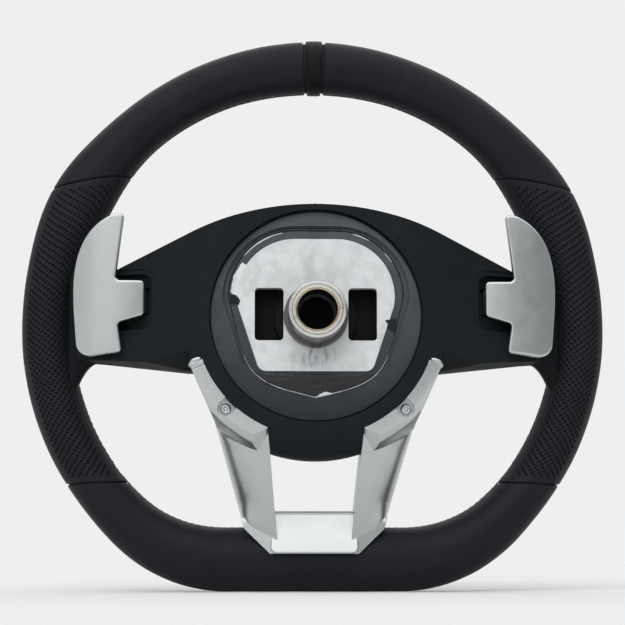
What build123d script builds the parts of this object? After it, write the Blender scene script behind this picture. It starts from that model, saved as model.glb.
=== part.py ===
from build123d import *
import os
from math import atan2, cos, degrees, exp, pi, radians, sin, sqrt

# Car steering wheel with a flat-bottomed leather rim, two shift paddles and a horn-button airbag.
# Millimetres. The origin is where the hub bore's wall begins, +Z points to twelve o'clock,
# the back of the wheel faces -Y and the driver sits at +Y. Sided pieces are made on +X and mirrored.

# Clearances
FIT = 0.3               # between pieces that seat on each other
RUN = 0.06              # radial clearance of a pivot pin
SEAM_GAP = 0.8          # open line between two leather pieces
PART_GAP = 0.4          # between the rear and the front cover

# Rim
RIM_Y = 80.0            # rim's middle plane, in front of the bore's mouth
RIM_R = 172.3           # radius of the rim's centre line
FLAT_DROP = 150.2       # centre line of the flat bottom, below the hub
CORNER_R = 90.0         # centre line radius of the two bottom corners
GRIP_WIDTH = 16.4       # half width of the plain section, seen from the back
GRIP_DEPTH = 15.6       # half depth of the section, front to back
TOP_SWELL = 1.2
TOP_SPREAD = 60.0
THUMB_SWELL = 3.9
THUMB_AT = 62.0         # degrees down from twelve o'clock
THUMB_SPREAD = 38.0
FLAT_SWELL = 3.9
FLAT_RAMP_AT = 0.5      # swell of the flat begins this far before the corner, in corner lengths
FLAT_RAMP = 1.5
RIM_STATIONS = 16       # sections in half a rim
LEATHER = 1.4
CORE_R = 6.0            # cast ring inside the rim
UPPER_SEAM_AT = 57.2    # degrees down from twelve o'clock
UPPER_SEAM_TILT = 9.1
LOWER_SEAM_AT = 126.4
LOWER_SEAM_TILT = 2.9
MARKER = 10.0           # width of the twelve o'clock band
MARKER_GROOVE = 1.6
MARKER_PROUD = 0.7
MARKER_T = 1.0          # band's depth below the leather's face

# Hub
BORE_R = 12.3
BORE_LENGTH = 23.0
BORE_CHAMFER = 1.0
BOSS_R = 17.7
COLLAR_R = 20.0
COLLAR_Y = 25.0
COLLAR_KEY = 6.0
HUB_FRONT = 40.0        # front end of the steel insert
SPLINE_R = 10.4
SPLINE_DEPTH = 0.9
SPLINE_TEETH = 36
BOLT_SEAT_R = 14.5
BOLT_SEAT_DEPTH = 5.0
PLATE_Y = 31.0          # machined rear face of the hub plate
DISC_Y = 33.0           # rear face of the cast disc around it
DISC_R = 67.4
DISC_T = 5.0
PLATE_TOP = 48.8
PLATE_TOP_FLAT = 13.0   # half width of the straight top
PLATE_HALF = 48.6
PLATE_WIDE_Z = 6.0      # height of the widest point
PLATE_BOTTOM = 34.4
PLATE_FOOT = 35.0       # half width of the straight bottom
PLATE_CORNER = 6.0
WINDOW_X = 29.2         # centre of each hub window
WINDOW_Z = 1.2
WINDOW_W = 18.0
WINDOW_H = 33.0
WINDOW_CORNER = 2.5
FOAM_R = 65.3
FOAM_Y = 29.0           # rear face of the foam surround
FOAM_SKIN = 1.2
FRAME_TOP = 56.7        # opening of the foam surround
FRAME_HALF = 58.2
FRAME_WIDE_Z = 10.0
FRAME_HIP_X = 45.5
FRAME_HIP_Z = 30.0
FRAME_POINT = 51.4
FRAME_KNEE_X = 30.0
FRAME_KNEE_Z = 44.2

# Side spokes of the casting
ARM_T = 7.0
ARM_ROOT_X = 46.0
ARM_BEND_X = 84.0
ARM_BEND_Y = 50.0
ARM_INSET = 6.0         # inside the covers' outline
ARM_FLOOR_Z = -19.5
ARM_WINDOW_X0 = 90.0
ARM_WINDOW_X1 = 121.0
ARM_WINDOW_Z0 = -2.0
ARM_WINDOW_Z1 = 25.0
ARM_END_Z0 = -17.0       # tongue that enters the rim
ARM_END_Z1 = 3.0
ARM_END_X = 132.0

# Lower legs of the casting
LEG_X = 37.0
LEG_W = 12.0
LEG_T = 8.0
LEG_ROOT_Z = -44.0
LEG_BEND_Z = -66.0
LEG_BEND_Y = 50.0

# Rear and front covers
WALL = 2.5
COVER_Y = 24.0          # flat rear face around the hub
COVER_BEND_X = 64.0
COVER_END_X = 156.0
COVER_END_Y = 65.0      # rear face where the spoke meets the rim
COVER_BEND_R = 60.0
PART_Y = 50.0           # joint of the two covers at the hub
PART_END_Y = 74.5
FRONT_Y = 66.0
FRONT_END_Y = 85.5
LENS_R = 185.0          # upper outline of the covers: an arc over the hub, then straight shoulders
LENS_TOP = 75.4
LENS_SLOPE = 26.0
LENS_BASE_Y = 76.0      # plane of that outline
LENS_DRAFT = 6.0
LENS_SIDE_X = 80.0
LENS_SIDE_Z = 34.6
LENS_TIP_Z = 25.0
POD_END_R = 154.0       # outline ends here, short of the rim
FRONT_LENS_INSET = 2.0
HUB_HOLE_R = 66.5
FRONT_HOLE_R = 67.5
CHIN_R = 89.4
CHIN_FLAT_R = 72.0
CHIN_Y = 46.0
CHIN_TOP_Z = -20.0
FRONT_CHIN_R = 74.0
FRONT_CHIN_Y = 54.0
BEVEL_Y0 = 31.0         # bevel along the lower edge of each wing
BEVEL_Z0 = -22.0
BEVEL_Y1 = 52.0
BEVEL_Z1 = -31.5
POCKET_X = 103.0        # pocket around the paddle's stem
POCKET_END_X = 133.0
POCKET_Z0 = -7.2
POCKET_Z1 = 28.4
POCKET_DEPTH = 7.0
POCKET_CORNER = 7.0
POCKET_STEP = 3.2       # shallow step around the pocket
POCKET_STEP_DEPTH = 1.2

# Silver trims of the lower double spoke
SEAT_R = 75.5           # shoulder's edge around the hub
SEAT_Y = 27.0
SHOULDER_BAND = 8.0     # flat band around the hub, then the slope down to the leg
SHOULDER_RISE = 0.1     # slope of that band
SHOULDER_SLOPE = 1.0
SHOULDER_RUN = 4.5      # width of that slope, before the steep foot
SHOULDER_STEEP = 2.1
SHOULDER_ROUND = 1.6    # rounded break between the band and the slope
SHOULDER_BEND = 7.0     # rounded break between the slope and its foot
SHOULDER_FLOOR = 42.0
CREST_IN = (31.5, -70.7)     # break between the band and the leg, at the leg's inner edge
CREST_OUT = (40.4, -74.6)
TIP_ROLL = 3.2          # rolled end of the shoulder, above a thin groove
TIP_GROOVE = 0.7
TIP_GROOVE_DEPTH = 1.6
TIP_ANGLE = -21.5
TIP_X = 78.4
TIP_Z = -30.6
SHOULDER_OUT_X = 62.6
LEG_TOP_Z = -66.0
LEG_TOP_IN = 30.0
LEG_FOOT_Z = -131.0
LEG_FOOT_IN = 24.2
LEG_FOOT_OUT = 44.4
LEG_FACE_Y = -19.4      # tilted rear face of the leg: height at the hub, slopes along X and -Z
LEG_FACE_X = 0.4
LEG_FACE_Z = 0.52
LEG_ROUND = 12.0        # rounded outer edge of the leg's face
FOOT_INNER = (24.5, 62.1, -137.0)    # rear face of the leg's foot, over the rim
FOOT_POINT = (28.0, 61.8, -146.8)
FOOT_OUTER = (44.4, 64.5, -131.0)
FOOT_TOP_Z = -124.0
FOOT_T = 6.0
TRIM_PART_Y = 58.0      # joint of the two trims at the top of the leg
TRIM_PART_SLOPE = 0.435
FRONT_TRIM_T = 8.0
FRONT_TRIM_EDGE = 2.0   # rounded long edges of the front legs and the cross bar
BRIDGE_TOP_Z = -121.8
BRIDGE_TOP_Y = 66.4
BRIDGE_FOOT_Z = -146.8
BRIDGE_FOOT_Y = 59.4
BRIDGE_HALF = 26.5
BRIDGE_FOOT_HALF = 28.0
BRIDGE_CORNER = 4.0
BRIDGE_T = 10.0
BRIDGE_EDGE = 1.0
BAR_LAP = 5.0           # how far the cross bar reaches into the legs
BAR_TOP_Z = -119.4      # cross bar of the front trim
BAR_FRONT = 87.0
BAR_REAR = 75.0
RIM_CLEAR = 0.6
SCREW_X = 55.9
SCREW_Z = -58.0
SCREW_HEAD_R = 3.3
SCREW_HEAD_T = 2.0
SCREW_R = 1.7
SCREW_RECESS_R = 5.0
SCREW_RECESS_Y = 33.6
SCREW_END_Y = 43.6

# Paddles
PADDLE_T = 4.0
PADDLE_STEM_Y = 45.5
PADDLE_MID_X = 128.0
PADDLE_MID_Y = 43.0
PADDLE_EDGE_X = 156.0
PADDLE_EDGE_Y = 49.0
PADDLE_TOP_IN = (120.9, 67.6)
PADDLE_TOP_OUT = (128.6, 66.6)
PADDLE_SHOULDER = (147.6, 48.2)
PADDLE_WAIST = (153.0, 9.5)
PADDLE_HEEL = (150.2, -24.8)
PADDLE_FOOT_IN = (121.4, -21.2)
PADDLE_NOTCH = (124.2, -2.7)
PADDLE_NECK_X = 126.2
STEM_X = 107.8
STEM_BOTTOM = 2.2
STEM_TOP = 24.3
PADDLE_CORNER = 2.6
PADDLE_HEEL_R = 9.0
PADDLE_EDGE = 1.4       # rounded rear edge
PIVOT_X = 98.0
PIVOT_Y = 55.0
PIVOT_R = 1.5
PIVOT_BOSS_R = 4.0
LEVER_Z0 = 4.0
LEVER_Z1 = 19.0
LEVER_X = 119.0
LEVER_FRONT = 58.8
LEVER_WEB = 5.0
LEVER_ROOT_X = 107.0
SLOT_PLAY = 2.2
EAR_T = 3.0
BRACKET_T = 2.0
BRACKET_Y = 62.6
SWITCH_T = 2.0
SWITCH_W = 9.0

# Airbag module, which is also the horn button
MODULE_GAP = 0.8
MODULE_EDGE_Y = 67.0
MODULE_CROWN = 19.0
MODULE_SKIRT_Y = 55.0
MODULE_WALL = 2.8
TRAY_Y = 50.0
TRAY_T = 1.8
TRAY_FLANGE = 9.0
GENERATOR_R = 25.5
GENERATOR_Y = 43.2
GENERATOR_DOME_Y = 66.0
GENERATOR_FLANGE_R = 34.0
GENERATOR_FLANGE_T = 2.0
BAG_FRONT = 74.5
PIN_CIRCLE = 53.0
PIN_R = 3.0
PIN_PLAY = 0.4
PIN_COUNT = 3
HORN_TRAVEL = 2.5
SPRING_R = 5.2
SPRING_WIRE = 0.7
SPRING_TURNS = 4

# Switch packs on the front of the side spokes
PANEL_X = 105.0
PANEL_Z = 5.0
PANEL_W = 52.0
PANEL_H = 36.0
PANEL_CORNER = 9.0
PANEL_T = 3.0
PANEL_PROUD = 0.8
BOARD_T = 1.2
BOARD_GAP = 1.2
BUTTON_T = 3.0
BUTTON_W = 12.0
BUTTON_H = 10.5
BUTTON_X = 17.0
BUTTON_Z = 9.0
BUTTON_ROUND = 2.0
POST_R = 2.0            # posts behind the panel, which carry the board
POST_Z = 15.0
THUMB_PAD = 14.0
BUTTON_STEP = 1.0

MODULE_R = FRONT_HOLE_R - MODULE_GAP
CORNER_Z = FLAT_DROP - CORNER_R
CORNER_X = sqrt((RIM_R - CORNER_R) ** 2 - CORNER_Z ** 2)
ARC_ANGLE = pi / 2 + atan2(CORNER_Z, CORNER_X)
ARC_LENGTH = RIM_R * ARC_ANGLE
CORNER_LENGTH = CORNER_R * (pi - ARC_ANGLE)
HALF_LENGTH = ARC_LENGTH + CORNER_LENGTH + CORNER_X
FAR = 400.0             # longer than the whole wheel, for cutting shapes
BACK = Plane.XZ         # sketch plane at the bore's mouth, facing the back


def back_plane(y):
    """Sketch plane at depth y, with +X right and +Z up, facing the back."""
    return BACK.offset(-y)


def bell(distance, spread):
    return exp(-((distance / spread) ** 2))


def ramp(share):
    share = min(max(share, 0.0), 1.0)
    return share * share * (3 - 2 * share)


def rim_half_width(s):
    """Half width of the rim's section, s along the centre line from the top."""
    thumb = RIM_R * radians(THUMB_AT)
    flat = ramp(((s - ARC_LENGTH) / CORNER_LENGTH + FLAT_RAMP_AT) / FLAT_RAMP)
    swell = TOP_SWELL * bell(s, TOP_SPREAD) + THUMB_SWELL * bell(s - thumb, THUMB_SPREAD)
    return GRIP_WIDTH + swell + FLAT_SWELL * flat


def rim_plane(s):
    """Plane across the right half of the rim, s along the centre line from the top."""
    angle = pi / 2 - s / RIM_R
    x, z = RIM_R * cos(angle), RIM_R * sin(angle)
    if s > ARC_LENGTH:
        angle = pi / 2 - ARC_ANGLE - (s - ARC_LENGTH) / CORNER_R
        x, z = CORNER_X + CORNER_R * cos(angle), -CORNER_Z + CORNER_R * sin(angle)
    if s > ARC_LENGTH + CORNER_LENGTH:
        angle = -pi / 2
        x, z = HALF_LENGTH - s, -FLAT_DROP
    return Plane(origin=(x, RIM_Y, z), x_dir=(0, 1, 0), z_dir=(sin(angle), 0, -cos(angle)))


def rim_half(inset):
    """Right half of the rim, its skin moved in by inset."""
    with BuildPart() as half:
        for station in range(RIM_STATIONS + 1):
            s = HALF_LENGTH * station / RIM_STATIONS
            with BuildSketch(rim_plane(s)):
                Ellipse(GRIP_DEPTH - inset, rim_half_width(s) - inset)
        loft()
    return half.part


def rim_core(radius):
    """Ring of round section along the rim's centre line."""
    with BuildPart() as core:
        with BuildLine(back_plane(RIM_Y)):
            CenterArc((0, 0), RIM_R, 90, -degrees(ARC_ANGLE))
            CenterArc((CORNER_X, -CORNER_Z), CORNER_R, 90 - degrees(ARC_ANGLE), degrees(ARC_ANGLE) - 180)
            Line((CORNER_X, -FLAT_DROP), (0, -FLAT_DROP))
        with BuildSketch(rim_plane(0)):
            Circle(radius)
        sweep()
        mirror(about=Plane.YZ)
    return core.part


def seam_plane(at, tilt, shift):
    """Cutting plane of a leather seam, at degrees from the top, moved up by shift."""
    origin = rim_plane(RIM_R * radians(at)).origin
    tilt = radians(tilt)
    return Plane(origin=origin, x_dir=(0, 1, 0), z_dir=(sin(tilt), 0, cos(tilt))).offset(shift)


def mirrored(piece):
    """The left piece that matches a right one."""
    with BuildPart() as twin:
        mirror(piece, about=Plane.YZ)
    return twin.part


def both_sides(piece):
    """A right piece and its mirrored twin in one."""
    with BuildPart() as pair:
        add(piece)
        mirror(piece, about=Plane.YZ)
    return pair.part


def box_between(x0, x1, y0, y1, z0, z1):
    """Plain block between two corners."""
    with BuildPart() as block:
        with BuildSketch(back_plane(y0)):
            with Locations(((x0 + x1) / 2, (z0 + z1) / 2)):
                Rectangle(x1 - x0, z1 - z0)
        extrude(amount=y0 - y1)
    return block.part


def spoke_slab(hub_rear, end_rear, hub_front, end_front, bend=0):
    """Everything between two spoke surfaces, as wide as the wheel."""
    with BuildPart() as slab:
        with BuildSketch(Plane.XY) as section:
            with BuildLine():
                Polyline(
                    (-COVER_END_X, end_rear), (-COVER_BEND_X, hub_rear),
                    (COVER_BEND_X, hub_rear), (COVER_END_X, end_rear),
                    (COVER_END_X, end_front), (COVER_BEND_X, hub_front),
                    (-COVER_BEND_X, hub_front), (-COVER_END_X, end_front), close=True,
                )
            make_face()
            if bend:
                knees = [v for v in section.vertices() if abs(v.Y - hub_rear) < FIT]
                fillet(knees, bend)
        extrude(amount=FAR, both=True)
    return slab.part


def lens(inset):
    """Outline of the covers: an arched top, two straight lower edges, ends along the rim."""
    tip_z = LENS_TIP_Z - inset
    side_z = LENS_SIDE_Z - inset
    slope = radians(LENS_SLOPE)
    top_z = LENS_TOP - inset
    knee_x = (LENS_R - inset) * sin(slope)
    knee_z = LENS_TOP - LENS_R + (LENS_R - inset) * cos(slope)
    end_z = knee_z - (COVER_END_X - knee_x) * sin(slope) / cos(slope)
    with BuildSketch() as outline:
        with BuildLine():
            ThreePointArc((-knee_x, knee_z), (0, top_z), (knee_x, knee_z))
            Polyline(
                (knee_x, knee_z), (COVER_END_X, end_z), (COVER_END_X, -tip_z), (LENS_SIDE_X, -side_z),
                (-LENS_SIDE_X, -side_z), (-COVER_END_X, -tip_z), (-COVER_END_X, end_z), (-knee_x, knee_z),
            )
        make_face()
        Circle(POD_END_R - inset, mode=Mode.INTERSECT)
    return outline.sketch


def rear_pod(inset, slab):
    """Drafted body behind the covers' joint, cut to a slab."""
    with BuildPart() as pod:
        with BuildSketch(back_plane(LENS_BASE_Y)):
            add(lens(inset))
        extrude(amount=LENS_BASE_Y, taper=LENS_DRAFT)
        add(slab, mode=Mode.INTERSECT)
    return pod.part


def front_pod(inset, slab):
    """Straight body in front of the covers' joint, cut to a slab."""
    with BuildPart() as pod:
        with BuildSketch(back_plane(0)):
            add(lens(inset + FRONT_LENS_INSET))
        extrude(amount=-FAR)
        add(slab, mode=Mode.INTERSECT)
    return pod.part


def chin_sides(inset):
    """Planes along the outer edges of the trim's shoulders, facing outwards."""
    along = Vector(SHOULDER_OUT_X - TIP_X, 0, LEG_TOP_Z - TIP_Z).normalized()
    for side in (-1, 1):
        outward = (-side * along.Z, 0, along.X)
        yield Plane(origin=(side * TIP_X, 0, TIP_Z), x_dir=(0, 1, 0), z_dir=outward).offset(-inset - FIT)


def rear_chin(inset, front, slab):
    """Lower half of the bowl around the hub, behind the covers' joint, cut to a slab."""
    with BuildPart() as chin:
        with BuildSketch(Plane.XY):
            with BuildLine():
                rear = COVER_Y + inset
                edge = CHIN_R - inset
                half = sqrt(0.5)
                middle = (
                    CHIN_FLAT_R + half * (edge - CHIN_FLAT_R),
                    CHIN_Y - half * (CHIN_Y - rear),
                )
                Line((0, rear), (CHIN_FLAT_R, rear))
                ThreePointArc((CHIN_FLAT_R, rear), middle, (edge, CHIN_Y))
                Polyline((edge, CHIN_Y), (edge, front), (0, front), (0, rear))
            make_face()
        revolve(axis=Axis.Y)
        split(bisect_by=Plane.XY.offset(CHIN_TOP_Z - inset), keep=Keep.BOTTOM)
        for side in chin_sides(inset):
            split(bisect_by=side, keep=Keep.BOTTOM)
        add(slab, mode=Mode.INTERSECT)
    return chin.part


def front_bowl(grow, rear):
    """Round bowl around the airbag, in front of the covers' joint."""
    with BuildPart() as bowl:
        with BuildSketch(Plane.XY):
            with BuildLine():
                Polyline(
                    (0, rear), (CHIN_R + grow, rear), (CHIN_R + grow, FRONT_CHIN_Y + grow / 2),
                    (FRONT_CHIN_R + grow / 2, FRONT_Y + grow), (0, FRONT_Y + grow), close=True,
                )
            make_face()
        revolve(axis=Axis.Y)
    return bowl.part


def front_chin(inset, rear, slab):
    """Lower half of that bowl, cut to a slab."""
    bowl = front_bowl(-inset, rear)
    with BuildPart() as chin:
        add(bowl)
        split(bisect_by=Plane.XY.offset(CHIN_TOP_Z - inset), keep=Keep.BOTTOM)
        for side in chin_sides(inset):
            split(bisect_by=side, keep=Keep.BOTTOM)
        add(slab, mode=Mode.INTERSECT)
    return chin.part


def wing_bevel(inset):
    """Wedge that bevels the lower rear edge of the right wing."""
    with BuildPart() as wedge:
        with BuildSketch(Plane.YZ.offset(TIP_X - inset)):
            with BuildLine():
                rise = (BEVEL_Z0 - BEVEL_Z1) / (BEVEL_Y1 - BEVEL_Y0)
                rear_y = BEVEL_Y0 - COVER_Y
                Polyline(
                    (rear_y, BEVEL_Z0 + rise * COVER_Y + inset), (BEVEL_Y1 + inset, BEVEL_Z1 + inset),
                    (BEVEL_Y1 + inset, -FAR), (rear_y, -FAR), close=True,
                )
            make_face()
        extrude(amount=FAR)
    return wedge.part


def paddle_pocket(grow, depth):
    """Space of the pocket around the right paddle's stem, grown by grow, down to a depth."""
    floor_hub = COVER_Y + depth
    floor_end = COVER_END_Y + depth
    with BuildPart() as pocket:
        with BuildSketch(back_plane(0)):
            with Locations(((POCKET_X + POCKET_END_X) / 2, (POCKET_Z0 + POCKET_Z1) / 2)):
                RectangleRounded(
                    POCKET_END_X - POCKET_X + 2 * grow, POCKET_Z1 - POCKET_Z0 + 2 * grow,
                    POCKET_CORNER + grow,
                )
        extrude(amount=-FAR)
        add(spoke_slab(0, 0, floor_hub, floor_end), mode=Mode.INTERSECT)
    return pocket.part


def leg_edge(shift):
    """Plane along the inner edge of the right trim leg, moved towards the middle by shift."""
    along = Vector(LEG_FOOT_IN - LEG_TOP_IN, 0, LEG_FOOT_Z - LEG_TOP_Z).normalized()
    return Plane(
        origin=(LEG_TOP_IN, 0, LEG_TOP_Z), x_dir=(0, 1, 0), z_dir=(-along.Z, 0, along.X)
    ).offset(-shift)


def trim_seat(grow):
    """Space that the right shoulder of the rear trim takes out of the rear cover."""
    tip = radians(TIP_ANGLE) + grow / SEAT_R
    with BuildPart() as seat:
        with BuildSketch(Plane.XY):
            with BuildLine():
                Polyline(
                    (SEAT_R - grow, 0), (FAR, 0), (FAR, SHOULDER_FLOOR + grow),
                    (SEAT_R - grow, SHOULDER_FLOOR + grow), close=True,
                )
            make_face()
        revolve(axis=Axis.Y)
        split(bisect_by=Plane(origin=(0, 0, 0), x_dir=(0, 1, 0), z_dir=(-sin(tip), 0, cos(tip))),
              keep=Keep.BOTTOM)
        split(bisect_by=leg_edge(grow), keep=Keep.TOP)
    return seat.part


def plane_of(corner, along, across):
    """Plane through three points, facing the back."""
    corner, along, across = Vector(*corner), Vector(*along), Vector(*across)
    normal = (along - corner).cross(across - corner).normalized()
    if normal.Y > 0:
        normal = normal * -1
    return Plane(origin=corner, x_dir=(along - corner), z_dir=normal)


def band_face(r):
    """Depth of the shoulder's flat band at a distance from the hub's axis."""
    return SEAT_Y + SHOULDER_RISE * (r - SEAT_R)


def leg_face(x, z):
    """Depth of the rear trim's leg face."""
    return LEG_FACE_Y + LEG_FACE_X * x - LEG_FACE_Z * z


def trim_joint(z):
    """Depth of the joint between the rear and the front trim."""
    return TRIM_PART_Y + TRIM_PART_SLOPE * (LEG_TOP_Z - z)


def leg_outline(inset, end_z):
    """Outline of one trim leg, seen from the back, down to a height on the bridge's sloped corner."""
    inner_slope = (LEG_TOP_IN - LEG_FOOT_IN) / (LEG_TOP_Z - LEG_FOOT_Z)
    corner_slope = (LEG_FOOT_OUT - BRIDGE_FOOT_HALF) / (LEG_FOOT_Z - BRIDGE_FOOT_Z)
    drop = LEG_FOOT_Z - end_z
    with BuildSketch() as outline:
        with BuildLine():
            Polyline(
                (LEG_TOP_IN + inset, LEG_TOP_Z), (SHOULDER_OUT_X - inset, LEG_TOP_Z),
                (LEG_FOOT_OUT - inset, LEG_FOOT_Z), (LEG_FOOT_OUT - inset - corner_slope * drop, end_z),
                (LEG_FOOT_IN + inset - inner_slope * drop, end_z), close=True,
            )
        make_face()
    return outline.sketch


def screw_notch(radius):
    """Round recess of the right trim screw, open towards the hub."""
    inwards = degrees(atan2(SCREW_Z, SCREW_X))
    with BuildSketch() as notch:
        with Locations(Location((SCREW_X, SCREW_Z, 0), (0, 0, inwards))):
            Circle(radius)
            Rectangle(2 * radius, 2 * radius, align=(Align.MAX, Align.CENTER))
    return notch.sketch


def leg_bar(grow):
    """Right lower leg of the casting, as a bent bar, grown by grow."""
    half = LEG_T / 2 + grow
    root_y = DISC_Y + DISC_T / 2
    with BuildPart() as bar:
        with BuildSketch(Plane.YZ.offset(LEG_X - LEG_W / 2 - grow)):
            with BuildLine():
                Polyline(
                    (root_y - DISC_T / 2, LEG_ROOT_Z), (LEG_BEND_Y - half, LEG_BEND_Z),
                    (RIM_Y - half, -FLAT_DROP), (RIM_Y + half, -FLAT_DROP),
                    (LEG_BEND_Y + half, LEG_BEND_Z), (root_y + DISC_T / 2, LEG_ROOT_Z), close=True,
                )
            make_face()
        extrude(amount=LEG_W + 2 * grow)
    return bar.part


def arm_depth(x):
    """Rear face of the side spoke's casting, outside its bend."""
    slope = (RIM_Y - ARM_T / 2 - ARM_BEND_Y) / (RIM_R - ARM_BEND_X)
    return ARM_BEND_Y + slope * (x - ARM_BEND_X)


def arm_tongue(grow):
    """End of the right side spoke, which enters the rim, grown by grow."""
    with BuildPart() as tongue:
        with BuildSketch(Plane.XY.offset(ARM_END_Z0 - grow)):
            with BuildLine():
                rear, end = arm_depth(ARM_END_X) - grow, arm_depth(RIM_R) - grow
                thick = ARM_T + 2 * grow
                Polyline(
                    (ARM_END_X, rear), (RIM_R, end), (RIM_R, end + thick), (ARM_END_X, rear + thick),
                    close=True,
                )
            make_face()
        extrude(amount=ARM_END_Z1 - ARM_END_Z0 + 2 * grow)
    return tongue.part


def arm_plate():
    """Right side spoke of the casting: a bent, tapering plate with a window."""
    with BuildPart() as arm:
        with BuildSketch(back_plane(0)):
            add(lens(ARM_INSET + FRONT_LENS_INSET))
            with Locations((ARM_ROOT_X + FAR / 2, ARM_FLOOR_Z + FAR / 2)):
                Rectangle(FAR, FAR, mode=Mode.INTERSECT)
            with Locations(((ARM_WINDOW_X0 + ARM_WINDOW_X1) / 2, (ARM_WINDOW_Z0 + ARM_WINDOW_Z1) / 2)):
                Rectangle(ARM_WINDOW_X1 - ARM_WINDOW_X0, ARM_WINDOW_Z1 - ARM_WINDOW_Z0, mode=Mode.SUBTRACT)
        extrude(amount=-FAR)
        with BuildSketch(Plane.XY):
            with BuildLine():
                Polyline(
                    (ARM_ROOT_X - DISC_T, DISC_Y), (ARM_ROOT_X + ARM_T, DISC_Y),
                    (ARM_BEND_X, ARM_BEND_Y), (RIM_R, arm_depth(RIM_R)),
                    (RIM_R, arm_depth(RIM_R) + ARM_T),
                    (ARM_BEND_X, ARM_BEND_Y + ARM_T), (ARM_ROOT_X, DISC_Y + DISC_T),
                    (ARM_ROOT_X - DISC_T, DISC_Y + DISC_T), close=True,
                )
            make_face()
        extrude(amount=FAR, both=True, mode=Mode.INTERSECT)
    return arm.part


def plate_sketch(grow):
    """Outline of the hub plate."""
    with BuildSketch() as outline:
        with BuildLine():
            top, half = PLATE_TOP + grow, PLATE_HALF + grow
            foot_z, foot = -PLATE_BOTTOM - grow, PLATE_FOOT + grow
            Line((-PLATE_TOP_FLAT, top), (PLATE_TOP_FLAT, top))
            for side in (-1, 1):
                TangentArc((side * PLATE_TOP_FLAT, top), (side * half, PLATE_WIDE_Z), tangent=(side, 0))
                Line((side * half, PLATE_WIDE_Z), (side * foot, foot_z))
            Line((-foot, foot_z), (foot, foot_z))
        make_face()
        fillet(outline.vertices().group_by(Axis.Y)[0], PLATE_CORNER)
    return outline.sketch


def frame_sketch():
    """Opening of the foam surround: like the plate above, and with a shallow point below."""
    with BuildSketch() as outline:
        with BuildLine():
            Line((-PLATE_TOP_FLAT, FRAME_TOP), (PLATE_TOP_FLAT, FRAME_TOP))
            for side in (-1, 1):
                wide = (side * FRAME_HALF, FRAME_WIDE_Z)
                hip = (side * FRAME_HIP_X, -FRAME_HIP_Z)
                TangentArc((side * PLATE_TOP_FLAT, FRAME_TOP), wide, tangent=(side, 0))
                Line(wide, hip)
                Polyline(hip, (side * FRAME_KNEE_X, -FRAME_KNEE_Z), (0, -FRAME_POINT))
        make_face()
    return outline.sketch


def paddle_slab(rear, front):
    """Gently bowed layer that the right paddle is cut from, between two depths behind its back."""
    stem_x = POCKET_X - PADDLE_T
    with BuildPart() as slab:
        with BuildSketch(Plane.XY):
            with BuildLine():
                back = [(stem_x, PADDLE_STEM_Y), (PADDLE_MID_X, PADDLE_MID_Y), (PADDLE_EDGE_X, PADDLE_EDGE_Y)]
                ThreePointArc(*[(x, y + rear) for x, y in back])
                ThreePointArc(*[(x, y + front) for x, y in back])
                for x, y in (back[0], back[-1]):
                    Line((x, y + rear), (x, y + front))
            make_face()
        extrude(amount=FAR, both=True)
    return slab.part


def paddle_sketch():
    """Outline of the right paddle: a tall blade with a short stem towards the hub."""
    with BuildSketch() as outline:
        with BuildLine():
            Spline(PADDLE_TOP_OUT, PADDLE_SHOULDER, PADDLE_WAIST, PADDLE_HEEL)
            Polyline(
                PADDLE_HEEL, PADDLE_FOOT_IN, PADDLE_NOTCH, (STEM_X, STEM_BOTTOM),
                (STEM_X, STEM_TOP), (PADDLE_NECK_X, STEM_TOP), PADDLE_TOP_IN, PADDLE_TOP_OUT,
            )
        make_face()
        heel = outline.vertices().sort_by(Axis.Y)[0]
        fillet(outline.vertices() - [heel], PADDLE_CORNER)
        fillet(outline.vertices().sort_by(Axis.Y)[0], PADDLE_HEEL_R)
    return outline.sketch


def panel_plane(lift):
    """Plane over the front face of the right spoke, facing the driver, its X to the driver's right."""
    slope = (FRONT_END_Y - FRONT_Y) / (COVER_END_X - COVER_BEND_X)
    depth = FRONT_Y + slope * (PANEL_X - COVER_BEND_X)
    plane = Plane(origin=(PANEL_X, depth, PANEL_Z), x_dir=(-1, -slope, 0), z_dir=(-slope, 1, 0))
    return plane.offset(lift)


def crown(r):
    """Rise of the airbag cover's crown at radius r."""
    ball = (MODULE_R ** 2 + MODULE_CROWN ** 2) / (2 * MODULE_CROWN)
    return sqrt(ball ** 2 - r ** 2) - (ball - MODULE_CROWN)


os.makedirs("parts", exist_ok=True)
pieces = {}

# Steel insert of the hub, with the bore for the steering shaft
with BuildPart() as splined_hub:
    with BuildSketch(Plane.XY):
        with BuildLine():
            seat_y = HUB_FRONT - BOLT_SEAT_DEPTH
            Polyline(
                (BORE_R, 0), (BORE_R + BORE_CHAMFER, -BORE_CHAMFER), (BOSS_R - BORE_CHAMFER, -BORE_CHAMFER),
                (BOSS_R, 0), (BOSS_R, COLLAR_Y), (COLLAR_R, COLLAR_Y), (COLLAR_R, HUB_FRONT),
                (BOLT_SEAT_R, HUB_FRONT), (BOLT_SEAT_R, seat_y), (SPLINE_R, seat_y), (SPLINE_R, BORE_LENGTH),
                (BORE_R, BORE_LENGTH), close=True,
            )
        make_face()
    revolve(axis=Axis.Y)
    with BuildSketch(back_plane(BORE_LENGTH)):
        with PolarLocations(SPLINE_R, SPLINE_TEETH):
            RegularPolygon(SPLINE_DEPTH, 4)
    extrude(amount=BORE_LENGTH - seat_y, mode=Mode.SUBTRACT)
    with BuildSketch(back_plane(COLLAR_Y)):
        with Locations((0, -COLLAR_R)):
            Rectangle(COLLAR_KEY, 2 * (COLLAR_R - BOSS_R))
    extrude(amount=COLLAR_Y - PLATE_Y, mode=Mode.SUBTRACT)
pieces["splined_hub"] = splined_hub.part

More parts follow.
